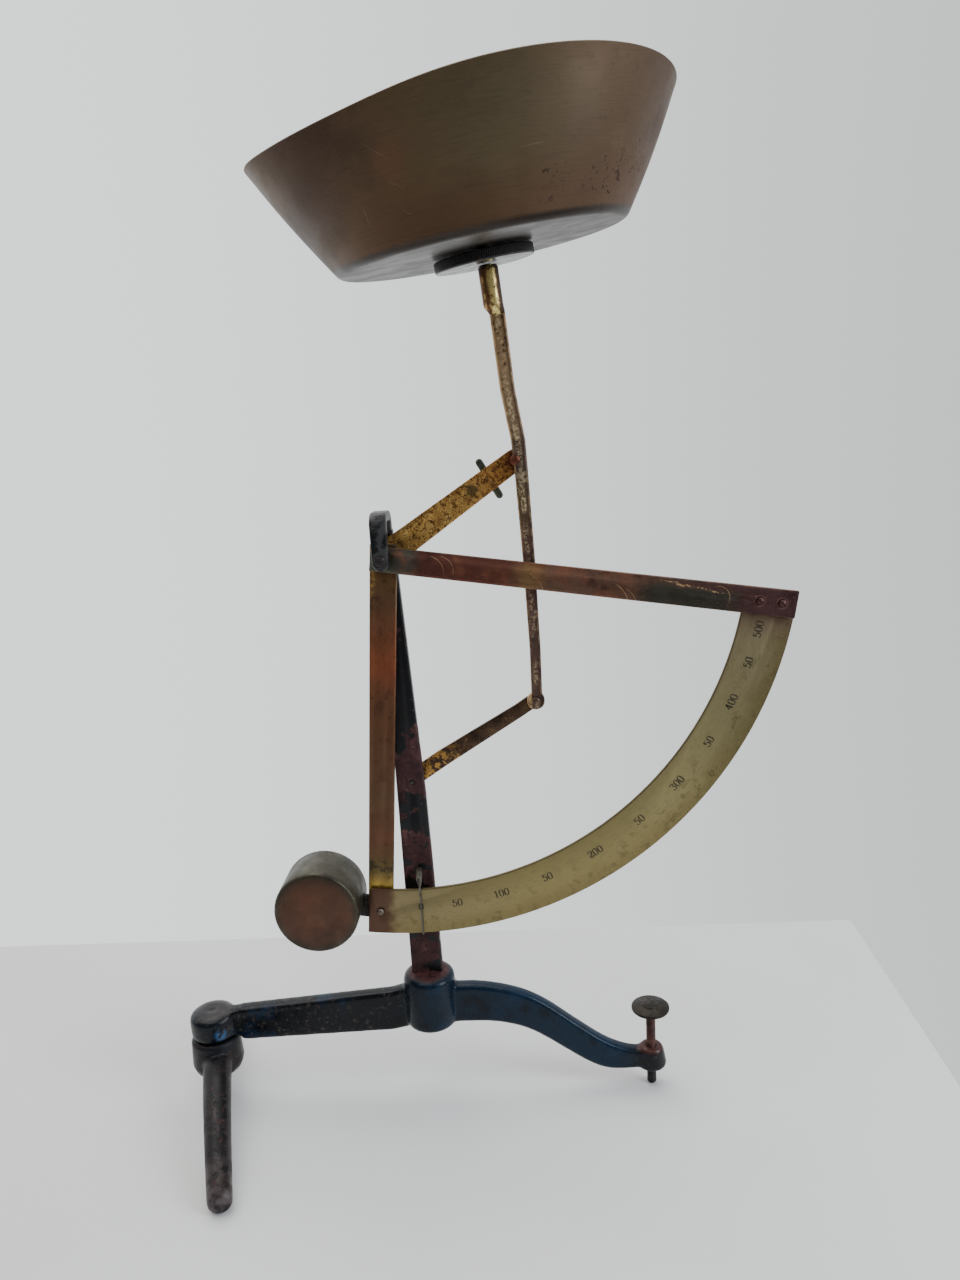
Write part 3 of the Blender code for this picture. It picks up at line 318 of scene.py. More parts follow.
def pan_finish():
    s = Finish("spun_brown_brass")
    height = s.along(PAN_BASE, PAN_AXIS)
    side, depth = s.along(PAN_BASE, RIGHT), s.along(PAN_BASE, BACK)
    spread = s.distance(PAN_BASE)
    turn = s.math("ARCTAN2", depth, side)
    at = s.stretched((height, 2600.0), (spread, 1300.0), (turn, 1.6))
    rings = s.noise(1.0, 4.0, 0.65, at)
    s.colour = mottled(s, (118, 92, 66), (98, 74, 54), (128, 104, 76), 0.030)
    # Painted highlight: the pan's front made paler round its middle, standing in for light falling on it.
    middle = s.near(on_pan(-0.010, -0.056, 0.016), 0.016, 0.032)
    s.lay(middle, 0.62, 158, 128, 94)
    olive = s.near(on_pan(0.004, -0.060, 0.026), 0.022, 0.020, 0.010, 90)
    s.lay(olive, 0.5, 122, 118, 88)
    left = s.near(on_pan(-0.052, -0.036, 0.022), 0.016, 0.014, 0.008, 110)
    s.lay(left, 0.5, 86, 56, 44)
    right = s.fade(s.wander(side, 0.006, 90), 0.040, 0.066)
    s.lay(right, 0.55, 96, 72, 60)
    warm = s.times(s.fade(s.wander(height, 0.005, 90), 0.021, 0.006), s.fade(side, -0.046, -0.030))
    s.lay(warm, 0.5, 116, 82, 58)
    # Painted shade: a darker patch on the pan's right front, dimming the window's reflection there.
    glare_dimming_shade = s.near(on_pan(0.034, -0.046, 0.022), 0.008, 0.020)
    s.lay(glare_dimming_shade, 0.5, 92, 74, 54)
    # Painted reflection: the pan's left end painted dark grey for the room it reflects, strongest low on the
    # flank.
    left_end_reflection = s.fade(s.wander(side, 0.008, 80), -0.034, -0.060)
    left_end_reflection = s.times(left_end_reflection, s.fade(height, 0.030, 0.012, 0.4, 1.0))
    s.lay(left_end_reflection, 0.6, 88, 78, 78)
    copper = s.near(on_pan(-0.0235, -0.0509, 0.0155), 0.0050, 0.0028, 0.0024, 420)
    s.lay(copper, 0.42, 158, 110, 86)
    spots_area = s.most(
        s.near(on_pan(0.0230, -0.0475, 0.0090), 0.0060, 0.0030, 0.0020, 300),
        s.near(on_pan(0.0390, -0.0360, 0.0115), 0.0085, 0.0040, 0.0030, 300),
        s.near(on_pan(0.0483, -0.0240, 0.0180), 0.0060, 0.0040, 0.0030, 300),
    )
    spots = s.times(s.speckle(0.58, 0.66, 400, 3.0, 0.6, twist=0.6), spots_area)
    spots = s.most(spots, s.times(s.fade(s.cells(420), 0.22, 0.10), spots_area, 0.5))
    specks = s.times(s.fade(s.cells(330), 0.12, 0.05), s.speckle(0.54, 0.64, 70, 2.0))
    s.lay(spots, 0.7, 56, 38, 28)
    s.lay(specks, 0.4, 58, 44, 34)
    marks = [s.near(on_pan(0.0350, -0.0481, 0.0294), 0.0003, 0.0002)]
    for x, y, z, way, reach, thick in (
        (-0.0272, -0.0503, 0.0190, (0.55, 0, 0.84), 0.0042, 0.00010),
        (-0.0215, -0.0500, 0.0095, (0.50, 0, 0.87), 0.0026, 0.00009),
        (0.0170, -0.0529, 0.0165, (-0.18, 0, 0.98), 0.0034, 0.00013),
        (-0.0320, -0.0427, 0.0034, (0.97, 0, 0.25), 0.0018, 0.00014),
        (-0.0192, -0.0491, 0.0024, (0.60, 0, 0.80), 0.0020, 0.00010),
        (0.0110, -0.0529, 0.0155, (0.50, 0, 0.86), 0.0012, 0.00014),
    ):
        spot = on_pan(x, y, z)
        cut = s.line(s.wander(s.along(spot, way), 0.0004, 260), 0.0, thick)
        marks.append(s.times(cut, s.near(spot, reach, 0.0012)))
    marks = s.most(*marks)
    s.lay(marks, 0.45, 176, 156, 130)
    s.lay(s.fade(rings, 0.46, 0.66, 0.0, 0.16), 1.0, 58, 44, 36)
    s.wear(0.0006, (0.40, 0.60, 300, 3.0), 0.4, 120, 98, 72)
    lean = s.facing(PAN_AXIS)
    # Painted shade: the pan's downward-facing underside next to the disc painted dark grey, and made a
    # little glossier.
    underside_shade = s.times(s.fade(s.wander(height, 0.0003, 300), 0.0030, 0.0012), s.fade(lean, 0.2, -0.2))
    s.lay(underside_shade, 0.85, 44, 43, 41)
    rough = s.plus(s.uneven(0.46, 0.56, 90), s.times(spots, 0.3))
    rough = s.minus(rough, s.scaled(underside_shade, 0.12))
    height_map = s.minus(s.scaled(rings, 0.5), s.scaled(spots, 0.8))
    return s.done(rough, 0.42, s.bump(height_map, 0.00004), 0.60, shine=0.35)


def disc_shade_finish():
    s = Finish("disc_painted_shade_and_reflection")
    turn = s.math("ARCTAN2", s.along(PAN_BASE, BACK), s.along(PAN_BASE, RIGHT))
    teeth = s.math("SINE", s.scaled(turn, 190.0))
    # Painted light: the disc's rim is painted near black as shade, and its flat faces and the lower band of
    # its rim pale grey as a reflection of the room; the teeth are the disc's own.
    face = s.fade(s.math("ABSOLUTE", s.facing(DISC_AXIS)), 0.6, 0.9)
    side = s.mix(s.fade(teeth, -0.3, 0.8, 0.0, 0.6), linear(30, 29, 30), linear(64, 60, 56))
    clouds = s.speckle(0.35, 0.65, 180)
    bright = s.mix(clouds, linear(70, 69, 67), linear(92, 91, 90))
    step = s.times(s.fade(s.along(PAN_BASE, DISC_AXIS), -0.0038, -0.0041), s.less(face))
    side = s.over(side, step, 0.6, 96, 94, 92)
    s.colour = s.mix(face, side, bright)
    rough = s.minus(s.fade(s.noise(260, 3.0), 0.3, 0.7, 0.48, 0.62), s.scaled(face, 0.28))
    return s.done(rough, 0.85, s.bump(s.times(teeth, s.less(face)), 0.00008))


def socket_finish():
    s = Finish("socket_wear_and_painted_light")
    low = s.along(SOCKET_BASE + SOCKET_AXIS * SOCKET_LENGTH, SOCKET_AXIS)
    across = s.along(SOCKET_BASE, (SOCKET_AXIS.z, 0.0, -SOCKET_AXIS.x))
    s.colour = mottled(s, (104, 72, 44), (66, 42, 30), (124, 90, 54), 0.004)
    # Painted light: the speckled gold stripe down the middle is worn brass and a painted highlight, the
    # darker right side is painted shade, and the thin line at the left edge is a painted highlight.
    gold = s.times(s.line(s.wander(across, 0.0011, 380), 0.0006, 0.0019), s.speckle(0.32, 0.46, 420))
    s.lay(gold, 0.95, 232, 208, 132)
    right = s.fade(s.wander(across, 0.0006, 400), 0.0019, 0.0029)
    s.lay(right, 0.8, 58, 46, 42)
    glint = s.times(s.line(s.wander(across, 0.0003, 500), -0.0024, 0.0004), s.speckle(0.44, 0.54, 500, 3.0))
    s.lay(glint, 0.7, 190, 158, 96)
    collar = s.fade(low, 0.0005, 0.0009)
    brown = mottled(s, (92, 72, 54), (62, 46, 36), (118, 96, 68), 0.002)
    s.colour = s.mix(s.times(collar, 0.85), s.colour, brown)
    ring = s.band(low, -0.0010, 0.0007, 0.0003)
    s.lay(ring, 0.8, 38, 26, 20)
    pits = s.speckle(0.44, 0.32, 1700)
    rough = s.plus(s.fade(gold, 0.0, 1.0, 0.46, 0.28), s.scaled(collar, 0.12))
    s.lay(pits, 0.7, 46, 29, 20)
    return s.done(rough, 0.78, s.bump(s.less(pits), 0.00010), 1.15)


def rod_finish():
    s = Finish("speckled_rod")
    up = s.along(PIVOT, UP)
    s.colour = s.ramp(
        s.wander(up, 0.006, 160), -0.062, 0.088,
        [(0.0, 74, 58, 50), (0.10, 82, 62, 54), (0.40, 92, 68, 62), (0.55, 104, 86, 62),
         (0.62, 110, 90, 72), (0.70, 138, 114, 88), (0.84, 164, 134, 100), (1.0, 148, 116, 78)],
    )
    s.lay(s.speckle(0.47, 0.33, 500, 5.0, 0.7), 1.0, 62, 46, 36)
    line = s.ramp(up, -0.0569, 0.0823, [((z + 0.0569) / 0.1392, x * 10) for x, z in ROD_LINE])
    off = s.minus(s.along(PIVOT, RIGHT), s.scaled(line, 0.1))
    # The speckled gold along the rod's middle is wear and a painted highlight.
    core_wear_and_highlight = s.line(s.wander(off, 0.0007, 240), -0.0002, 0.0013)
    gold = s.times(s.speckle(0.47, 0.54, 1100, 6.0, 0.75), s.most(core_wear_and_highlight, s.speckle(0.60, 0.68, 150, 3.0)))
    gold = s.times(gold, s.speckle(0.40, 0.52, 110, 3.0), s.fade(up, -0.020, 0.030, 0.35, 1.0))
    bright = s.times(s.near(PIVOT + Vector((0.0520, -0.0012, 0.0265)), 0.0022, 0.0010, 0.0012, 500), 0.9)
    gold = s.most(gold, s.times(bright, s.speckle(0.42, 0.54, 700)))
    s.lay(gold, 0.85, 226, 202, 158)
    # Painted shade: the rod's right side made darker.
    s.lay(s.fade(s.wander(off, 0.0003, 300), 0.0007, 0.0019), 0.7, 56, 44, 38)
    rim = s.times(s.fade(off, -0.0017, -0.0022), s.speckle(0.36, 0.50, 200, 3.0))
    s.lay(rim, 0.8, 198, 164, 116)
    s.wear(0.0007, (0.44, 0.58, 260), 0.85, 196, 158, 112)
    pin = PIVOT + polar(LEVER_DEG) * LEVER_REACH
    rust = s.near(pin + Vector((-0.0012, -0.0012, 0)), 0.0022, 0.0010, 0.0010, 800)
    s.lay(rust, 0.85, 110, 52, 38)
    dark = s.near(pin + Vector((0.001, -0.0012, 0.0)), 0.0075, 0.004, 0.002, 300)
    s.lay(dark, 0.45, 66, 58, 58)
    pits = s.speckle(0.44, 0.30, 1600, 5.0, 0.7)
    return s.done(s.uneven(0.36, 0.52, 300, 3.0), 0.75, s.bump(s.less(pits), 0.00012), 1.15)


def long_arm_finish():
    s = Finish("red_brown_arm")
    way = polar(LONG_ARM_DEG)
    rise = Vector((-way.z, 0.0, way.x))
    run, high = s.along(PIVOT, way), s.along(PIVOT, rise)
    s.colour = s.ramp(
        s.wander(run, 0.004, 130), 0.0, 0.150,
        [(0.0, 86, 84, 72), (0.060, 84, 82, 72), (0.090, 98, 58, 48), (0.30, 106, 64, 52),
         (0.36, 116, 90, 68), (0.45, 108, 80, 66), (0.56, 106, 78, 62), (0.66, 88, 68, 58),
         (0.84, 88, 62, 58), (1.0, 84, 56, 56)],
    )
    s.lay(s.speckle(0.50, 0.32, 110, 5.0, 0.6), 1.0, 70, 42, 38)
    glow = s.times(s.speckle(0.50, 0.70, 90, 4.0, 0.6), s.fade(run, 0.120, 0.060))
    s.lay(glow, 0.6, 146, 92, 68)
    stain = s.times(
        s.band(s.wander(run, 0.009, 190), 0.094, 0.128, 0.006),
        s.fade(s.wander(high, 0.0018, 260), 0.0032, 0.0010),
    )
    s.lay(stain, 0.8, 58, 60, 50)
    marks = []
    for reach, lift, radius, width in (
        (0.0165, -0.003, 0.0062, 0.00012), (0.0205, -0.002, 0.0056, 0.00010),
        (0.0500, -0.008, 0.0095, 0.00016), (0.0800, -0.009, 0.0105, 0.00014),
        (0.0835, -0.010, 0.0105, 0.00010), (0.1215, -0.0005, 0.0042, 0.00014),
    ):
        centre = PIVOT + way * reach + rise * lift + ARM_FRONT
        ring = s.line(s.distance(centre), radius, width)
        window = s.near(centre + way * radius * 0.62 + rise * radius * 0.55, 0.0038, 0.0012)
        marks.append(s.times(ring, window))
    scuff_at = s.wander(s.wander(high, 0.0012, 260), 0.0005, 900)
    scuff_at = s.math("MULTIPLY_ADD", s.minus(run, 0.107), 0.10, scuff_at)
    scuff = s.times(s.line(scuff_at, 0.0030, 0.0005), s.band(run, 0.101, 0.124, 0.002))
    scuff = s.times(scuff, s.speckle(0.44, 0.56, 700, 4.0, 0.7))
    marks = s.most(s.times(s.most(*marks), 0.8), s.times(scuff, 0.8))
    s.lay(marks, 0.95, 214, 174, 126)
    crossing = s.near(PIVOT + way * 0.0535 + ARM_FRONT, 0.0045, 0.003, 0.0022, 500)
    s.lay(crossing, 0.45, 156, 122, 74)
    end_rings = s.most(*[
        s.line(s.distance(PIVOT + way * at + ARM_FRONT), 0.0019, 0.0005)
        for at in (0.1365, 0.1445)
    ])
    s.lay(end_rings, 0.7, 126, 88, 82)
    s.wear(0.0005, (0.42, 0.58, 240), 0.65, 160, 112, 82)
    normal, pits = strip_bump(s, way)
    s.lay(pits, 0.3, 52, 34, 30)
    rough = s.minus(s.uneven(0.34, 0.50, 140), s.times(marks, 0.15))
    return s.done(rough, 0.72, normal)


def down_arm_finish():
    s = Finish("tan_arm")
    way = polar(DOWN_ARM_DEG)
    run = s.along(PIVOT, way)
    side = s.along(PIVOT, (way.z, 0.0, -way.x))
    s.colour = s.ramp(
        s.wander(run, 0.0035, 150), 0.0, 0.149,
        [(0.0, 74, 62, 46), (0.05, 118, 88, 56), (0.10, 110, 82, 58), (0.18, 122, 78, 54),
         (0.27, 142, 82, 54), (0.36, 108, 72, 50), (0.62, 92, 68, 48), (0.75, 96, 64, 46),
         (0.81, 92, 74, 46), (0.835, 104, 88, 50), (0.86, 140, 116, 60), (0.88, 186, 154, 70),
         (0.905, 84, 54, 44), (1.0, 76, 48, 42)],
    )
    right = s.fade(s.wander(side, 0.0018, 420), 0.0022, 0.0044)
    gold = s.times(right, s.fade(run, 0.020, 0.004), s.speckle(0.40, 0.55, 600))
    s.lay(gold, 0.8, 206, 162, 84)
    s.lay(s.fade(s.noise(130, 5.0, 0.6), 0.46, 0.32, 0.0, 0.7), 1.0, 84, 56, 42)
    s.lay(s.speckle(0.60, 0.68, 420, 4.0, 0.65), 0.5, 66, 44, 34)
    patch = s.band(s.wander(run, 0.004, 300), 0.119, 0.126, 0.0015)
    patch = s.times(patch, s.speckle(0.50, 0.58, 330, 3.0))
    s.lay(patch, 0.8, 58, 52, 34)
    s.wear(0.0005, (0.40, 0.58, 220), 0.7, 186, 140, 84)
    normal, pits = strip_bump(s, way)
    s.lay(pits, 0.4, 62, 42, 32)
    return s.done(s.uneven(0.34, 0.50, 140), 0.75, normal)


def lever_finish():
    s = Finish("pitted_yellow_brass")
    way = polar(LEVER_DEG)
    rise = Vector((-way.z, 0.0, way.x))
    run = s.along(PIVOT, way)
    s.colour = mottled(s, (202, 158, 84), (152, 106, 54), (226, 188, 110), 0.006)
    s.lay(s.fade(s.wander(run, 0.004, 260), 0.036, 0.050, 0.0, 0.6), 1.0, 206, 140, 74)
    blots = s.speckle(0.50, 0.56, 520, 6.0, 0.74)
    s.lay(blots, 0.8, 96, 60, 32)
    pits = s.speckle(0.53, 0.59, 1250, 5.0, 0.72)
    s.lay(pits, 0.85, 54, 32, 20)
    dots = s.times(s.fade(s.cells(620), 0.20, 0.10), s.speckle(0.42, 0.56, 160, 2.0))
    s.lay(dots, 0.85, 58, 34, 24)
    spot = PIVOT + way * 0.0405 + rise * 0.0006 + LEVER_FRONT
    green = s.near(spot, 0.0021, 0.0009, 0.0013, 420)
    s.lay(green, 0.8, 66, 60, 38)
    rust = s.near(PIVOT + way * 0.0590 + LEVER_FRONT, 0.0032, 0.0016, 0.0012, 700)
    s.lay(rust, 0.85, 104, 46, 34)
    shade = s.fade(run, 0.014, 0.006)
    s.lay(shade, 0.4, 120, 92, 52)
    s.wear(0.0005, (0.40, 0.60, 260, 3.0), 0.6, 214, 176, 96)
    pitted = s.most(blots, pits, dots)
    return s.done(s.fade(pitted, 0.0, 1.0, 0.34, 0.58), 0.8, s.bump(s.less(pitted), 0.00014))


def dial_finish():
    s = Finish("olive_dial_brass")
    far = s.distance(PIVOT + Vector((0, DIAL_FRONT, 0)))
    turn = s.math("ARCTAN2", s.along(PIVOT, RIGHT), s.along(PIVOT, (0, 0, -1)))
    s.colour = s.ramp(
        turn, math.radians(-8), math.radians(84),
        [(0.0, 126, 112, 80), (0.12, 132, 120, 84), (0.30, 138, 126, 82), (0.50, 142, 130, 86),
         (0.72, 152, 142, 100), (1.0, 166, 150, 118)],
    )
    streaks = s.noise(1.0, 5.0, 0.6, s.stretched((turn, 36.0), (far, 1500.0)))
    s.lay(s.fade(streaks, 0.50, 0.34, 0.0, 0.35), 1.0, 118, 106, 72)
    rim = s.fade(s.wander(far, 0.0002, 400), 0.1318, 0.1312)
    s.lay(rim, 0.75, 74, 62, 36)
    edge = s.fade(s.wander(far, 0.004, 170), 0.141, 0.149)
    s.lay(edge, 0.62, 118, 104, 62)
    stains = s.times(s.speckle(0.54, 0.64, 260, 5.0, 0.65), s.fade(far, 0.132, 0.146))
    s.lay(stains, 0.55, 98, 88, 56)
    reds = s.fade(s.wander(turn, 0.022, 240), math.radians(-1.9), math.radians(-4.2))
    s.lay(reds, 0.9, 78, 50, 40)
    ends = s.fade(s.wander(turn, 0.02, 300), math.radians(74.0), math.radians(79.5))
    s.lay(ends, 0.7, 112, 84, 72)
    dots = s.times(s.fade(s.cells(210), 0.10, 0.05), s.speckle(0.55, 0.62, 50, 2.0))
    s.lay(dots, 0.6, 84, 74, 48)
    s.wear(0.0004, (0.36, 0.56, 240, 3.0), 0.6, 92, 80, 48)
    lines = s.noise(1.0, 3.0, 0.6, s.stretched((turn, 40.0), (far, 6000.0)))
    height = s.minus(s.scaled(lines, 0.4), s.times(stains, 0.5))
    return s.done(s.fade(streaks, 0.35, 0.65, 0.44, 0.34), 0.72, s.bump(height, 0.00004))


def weight_finish():
    s = Finish("copper_faced_weight")
    depth = s.along(WEIGHT_CENTRE, (0, -1, 0))
    across, up = s.along(WEIGHT_CENTRE, RIGHT), s.along(WEIGHT_CENTRE, UP)
    far = s.math("SQRT", s.plus(s.scaled(across, across), s.scaled(up, up)))
    face = s.fade(depth, 0.0119, 0.0123)
    copper = mottled(s, (112, 76, 58), (88, 62, 48), (132, 88, 66), 0.014)
    glow = s.near(WEIGHT_CENTRE + Vector((-0.003, -0.0125, 0.006)), 0.004, 0.004, 0.002, 200)
    copper = s.over(copper, glow, 0.4, 146, 92, 68)
    rim = s.fade(s.wander(far, 0.0012, 300), 0.0128, 0.0162, 0.0, 0.6)
    copper = s.over(copper, rim, 1.0, 78, 64, 54)
    drum = mottled(s, (88, 82, 66), (62, 58, 46), (112, 106, 86), 0.007)
    green = s.speckle(0.54, 0.64, 260, 4.0, 0.6)
    drum = s.over(drum, green, 0.5, 80, 84, 58)
    drum = s.over(drum, s.speckle(0.58, 0.66, 700, 4.0, 0.6), 0.6, 46, 42, 34)
    s.colour = s.mix(face, drum, copper)
    s.wear(0.0007, (0.42, 0.60, 200, 3.0), 0.5, 150, 112, 78)
    specks = s.fade(s.cells(480), 0.12, 0.05)
    s.lay(specks, 0.5, 50, 38, 32)
    height = s.minus(s.noise(600), specks)
    return s.done(s.uneven(0.36, 0.54, 160), 0.6, s.bump(height, 0.00006), 0.5)


def post_finish():
    s = Finish("rusted_black_paint")
    up = s.along(ORIGIN, UP)
    patches = s.noise(135, 6.0, 0.58, twist=0.25)
    amount = s.ramp(
        s.wander(up, 0.006, 120), 0.043, 0.245,
        [(0.0, 0.9), (0.07, 0.8), (0.13, 0.55), (0.16, 0.30), (0.24, 0.34),
         (0.28, 0.78), (0.34, 0.76), (0.375, 0.30), (0.42, 0.34), (0.46, 0.80),
         (0.53, 0.74), (0.59, 0.16), (1.0, 0.08)],
    )
    level = s.plus(patches, s.math("MULTIPLY_ADD", amount, 0.38, -0.19))
    rust = s.fade(level, 0.50, 0.53)
    paint = mottled(s, (17, 18, 21), (10, 10, 12), (30, 33, 36), 0.012)
    red = mottled(s, (70, 42, 42), (44, 26, 28), (104, 70, 68), 0.006)
    red = s.over(red, s.speckle(0.54, 0.64, 900), 0.6, 36, 20, 22)
    s.colour = s.mix(rust, paint, red)
    rim = s.times(s.line(level, 0.505, 0.02), 0.5)
    s.lay(rim, 1.0, 26, 16, 18)
    s.wear(0.0006, (0.48, 0.60, 300, 3.0), 0.5, 84, 76, 74)
    chips = s.times(s.fade(s.cells(260), 0.10, 0.05), s.less(rust))
    s.lay(chips, 0.6, 96, 86, 82)
    top = s.times(s.fade(up, 0.214, 0.222), s.speckle(0.40, 0.54, 240, 5.0, 0.6))
    s.lay(top, 0.8, 76, 75, 74)
    rough = s.mix(rust, grey(0.36), grey(0.78))
    height = s.minus(s.times(s.noise(900), rust), s.scaled(rust, 0.9))
    return s.done(rough, 0.1, s.bump(height, 0.00009), 0.92, shine=0.3)


def base_finish():
    s = Finish("worn_blue_black_enamel")
    side, up = s.along(ORIGIN, RIGHT), s.along(ORIGIN, UP)
    blue = s.ramp(
        s.wander(side, 0.008, 60), -0.120, 0.080,
        [(0.0, 16, 24, 33), (0.12, 14, 16, 20), (0.42, 13, 17, 22), (0.50, 10, 25, 38),
         (0.62, 12, 31, 48), (0.90, 15, 38, 57), (0.95, 24, 25, 28), (1.0, 24, 22, 22)],
    )
    blue = s.over(blue, s.fade(s.noise(120, 5.0, 0.6), 0.50, 0.34, 0.0, 0.7), 1.0, 9, 11, 14)
    blue = s.over(blue, s.fade(s.noise(60, 4.0, 0.6), 0.54, 0.70, 0.0, 0.6), 1.0, 14, 42, 66)
    amount = s.ramp(
        side, -0.120, 0.080,
        [(0.0, 0.52), (0.10, 0.60), (0.40, 0.50), (0.46, 0.30), (0.62, 0.34),
         (0.88, 0.18), (0.95, 0.62), (1.0, 0.70)],
    )
    level = s.plus(s.noise(330, 7.0, 0.70), s.math("MULTIPLY_ADD", amount, 0.26, -0.20))
    level = s.plus(level, s.scaled(s.edges(0.0016), 0.05))
    bare = s.fade(level, 0.53, 0.60)
    brown = mottled(s, (64, 56, 52), (44, 38, 36), (86, 78, 73), 0.006)
    s.colour = s.mix(s.times(bare, 0.85), blue, brown)
    flecks = s.times(s.speckle(0.54, 0.64, 430, 5.0, 0.7), s.speckle(0.44, 0.54, 90, 4.0, 0.6))
    flecks = s.times(flecks, s.fade(side, -0.020, -0.035))
    s.lay(flecks, 0.6, 84, 76, 71)
    s.lay(s.fade(s.facing(UP), -0.2, -0.7), 0.35, 38, 32, 30)
    # Painted highlight: a pale blue streak on the front right of the left boss, standing in for the window
    # reflected in the enamel.
    bright = s.near((LEFT_BOSS[0] + 0.0058, LEFT_BOSS[1] - 0.0088, 0.0325), 0.0026, 0.0012, 0.0012, 420)
    s.lay(s.times(bright, s.speckle(0.36, 0.50, 380, 3.0)), 1.0, 54, 92, 128)
    mound = s.near((*HUB, 0.0548), MOUND_RADIUS, 0.0010, 0.0010, 500)
    mound = s.times(mound, s.fade(up, 0.0520, 0.0540))
    rust = mottled(s, (70, 40, 40), (40, 24, 26), (98, 62, 60), 0.003)
    s.colour = s.mix(mound, s.colour, rust)
    cap = s.times(s.near((*SCREW_BOSS, 0.0176), 0.0058, 0.0014, 0.0014, 500), s.fade(up, 0.0155, 0.0170))
    s.lay(cap, 0.85, 82, 50, 46)
    crown = s.near((*LEFT_BOSS, BOSS_TOP), 0.0080, 0.0020, 0.0026, 300)
    crown = s.times(crown, s.fade(up, 0.0355, 0.0390), 0.6)
    s.colour = s.mix(crown, s.colour, mottled(s, (56, 50, 47), (34, 31, 30), (78, 72, 68), 0.003))
    dimple = s.near((*LEFT_BOSS, 0.0396), 0.0014, 0.0004, 0.0003, 900)
    s.lay(dimple, 0.9, 14, 14, 16)
    rough = s.plus(s.uneven(0.20, 0.32, 210), s.scaled(s.most(bare, mound), 0.30))
    height = s.plus(s.scaled(s.noise(420, 5.0, 0.6), 0.5), s.scaled(bare, -0.3))
    height = s.plus(height, s.scaled(s.times(mound, s.noise(1100)), 3.0))
    return s.done(rough, 0.0, s.bump(height, 0.00008), 0.9, shine=0.2)


def foot_finish():
    s = Finish("brown_black_foot")
    up = s.along(ORIGIN, UP)
    s.colour = mottled(s, (34, 25, 25), (21, 16, 17), (48, 38, 37), 0.008)
    shift = s.fade(up, 0.004, 0.024, -0.08, 0.07)
    black = s.fade(s.plus(s.noise(190, 7.0, 0.68), shift), 0.49, 0.52)
    s.lay(black, 0.9, 10, 9, 10)
    # Painted highlight: the foot's lower part speckled paler.
    low = s.times(s.fade(up, 0.016, 0.002), s.speckle(0.40, 0.60, 170))
    s.lay(low, 0.75, 108, 98, 98)
    red = s.speckle(0.59, 0.65, 420, 5.0, 0.66)
    s.lay(red, 0.5, 72, 42, 40)
    blue = s.times(s.fade(up, 0.0215, 0.0265), s.speckle(0.38, 0.56, 120, 3.0))
    s.lay(blue, 0.5, 20, 27, 34)
    specks = s.fade(s.cells(520), 0.13, 0.06)
    s.lay(specks, 0.35, 104, 92, 88)
    s.wear(0.0012, (0.44, 0.60, 240), 0.35, 88, 78, 74)
    rough = s.uneven(0.34, 0.52, 210)
    height = s.plus(s.noise(520, 5.0, 0.62), s.scaled(s.most(red, black), -0.6))
    return s.done(rough, 0.15, s.bump(height, 0.00012), shine=0.25)


def metal_finish(name, base, dark, light):
    """A small piece's finish: clouds, grain, pits and worn edges in its own colours."""
    s = Finish(name)
    size = 0.003
    s.colour = mottled(s, base, dark, light, size)
    pits = s.speckle(0.55, 0.64, 4 / size, 5.0, 0.66)
    s.lay(pits, 0.6, *dark)
    s.wear(0.0005, (0.40, 0.58, 1.2 / size, 3.0), 0.6, *light)
    height = s.minus(s.noise(5 / size), pits)
    return s.done(s.uneven(0.34, 0.54, 0.8 / size), 0.75, s.bump(height, 0.00008))


def screw_finish():
    s = Finish("rusted_screw")
    up = s.along(ORIGIN, UP)
    rust = mottled(s, (96, 56, 48), (62, 36, 33), (128, 90, 78), 0.003)
    dark = mottled(s, (40, 37, 36), (24, 23, 23), (66, 62, 58), 0.002)
    s.colour = s.mix(s.fade(s.wander(up, 0.0006, 700), 0.0095, 0.0078), rust, dark)
    turns = s.math("SINE", s.scaled(up, 2 * math.pi / 0.0005))
    pits = s.speckle(0.56, 0.64, 1400)
    s.lay(pits, 0.6, 38, 24, 22)
    s.wear(0.0004, (0.40, 0.58, 500, 3.0), 0.5, 132, 108, 96)
    return s.done(s.uneven(0.45, 0.65, 400), 0.4, s.bump(turns, 0.00008), 0.8)


def link_finish():
    s = Finish("dark_link_brass")
    start = PIVOT + Vector((0.0033, 0, -0.0890))
    way = polar(LEVER_DEG)
    run = s.along(start, way)
    s.colour = mottled(s, (92, 70, 52), (62, 46, 38), (118, 90, 62), 0.006)
    gold = s.times(s.fade(s.wander(run, 0.005, 330), 0.027, 0.013), s.speckle(0.46, 0.54, 420, 5.0, 0.65))
    s.lay(gold, 0.9, 226, 172, 88)
    glints = s.speckle(0.64, 0.70, 560, 4.0, 0.6)
    s.lay(glints, 0.7, 176, 136, 92)
    pits = s.speckle(0.56, 0.64, 1100, 4.0, 0.6)
    s.lay(pits, 0.6, 58, 38, 28)
    s.wear(0.0004, (0.42, 0.60, 300, 3.0), 0.6, 176, 132, 88)
    return s.done(s.uneven(0.34, 0.50, 200), 0.76, s.bump(s.less(pits), 0.00008), 0.62)


def ink_finish(name, tone, thin):
    """Stamped figures: dark, and worn thin in places."""
    s = Finish(name)
    gone = s.speckle(0.46, 0.62, 650, 4.0, 0.6)
    s.colour = s.over(linear(*tone), gone, 0.7, *thin)
    grain = s.noise(2600, 3.0)
    s.lay(s.fade(grain, 0.45, 0.62, 0.0, 0.35), 1.0, *thin)
    return s.done(0.6, 0.2, s.bump(grain, 0.00002))


# --- shapes ------------------------------------------------------------------


def smooth(mesh, degrees=32.0):
    """Smooth shading, with edges sharper than this kept."""
    mesh.polygons.foreach_set("use_smooth", [True] * len(mesh.polygons))
    mesh.set_sharp_from_angle(angle=math.radians(degrees))
    mesh.update()


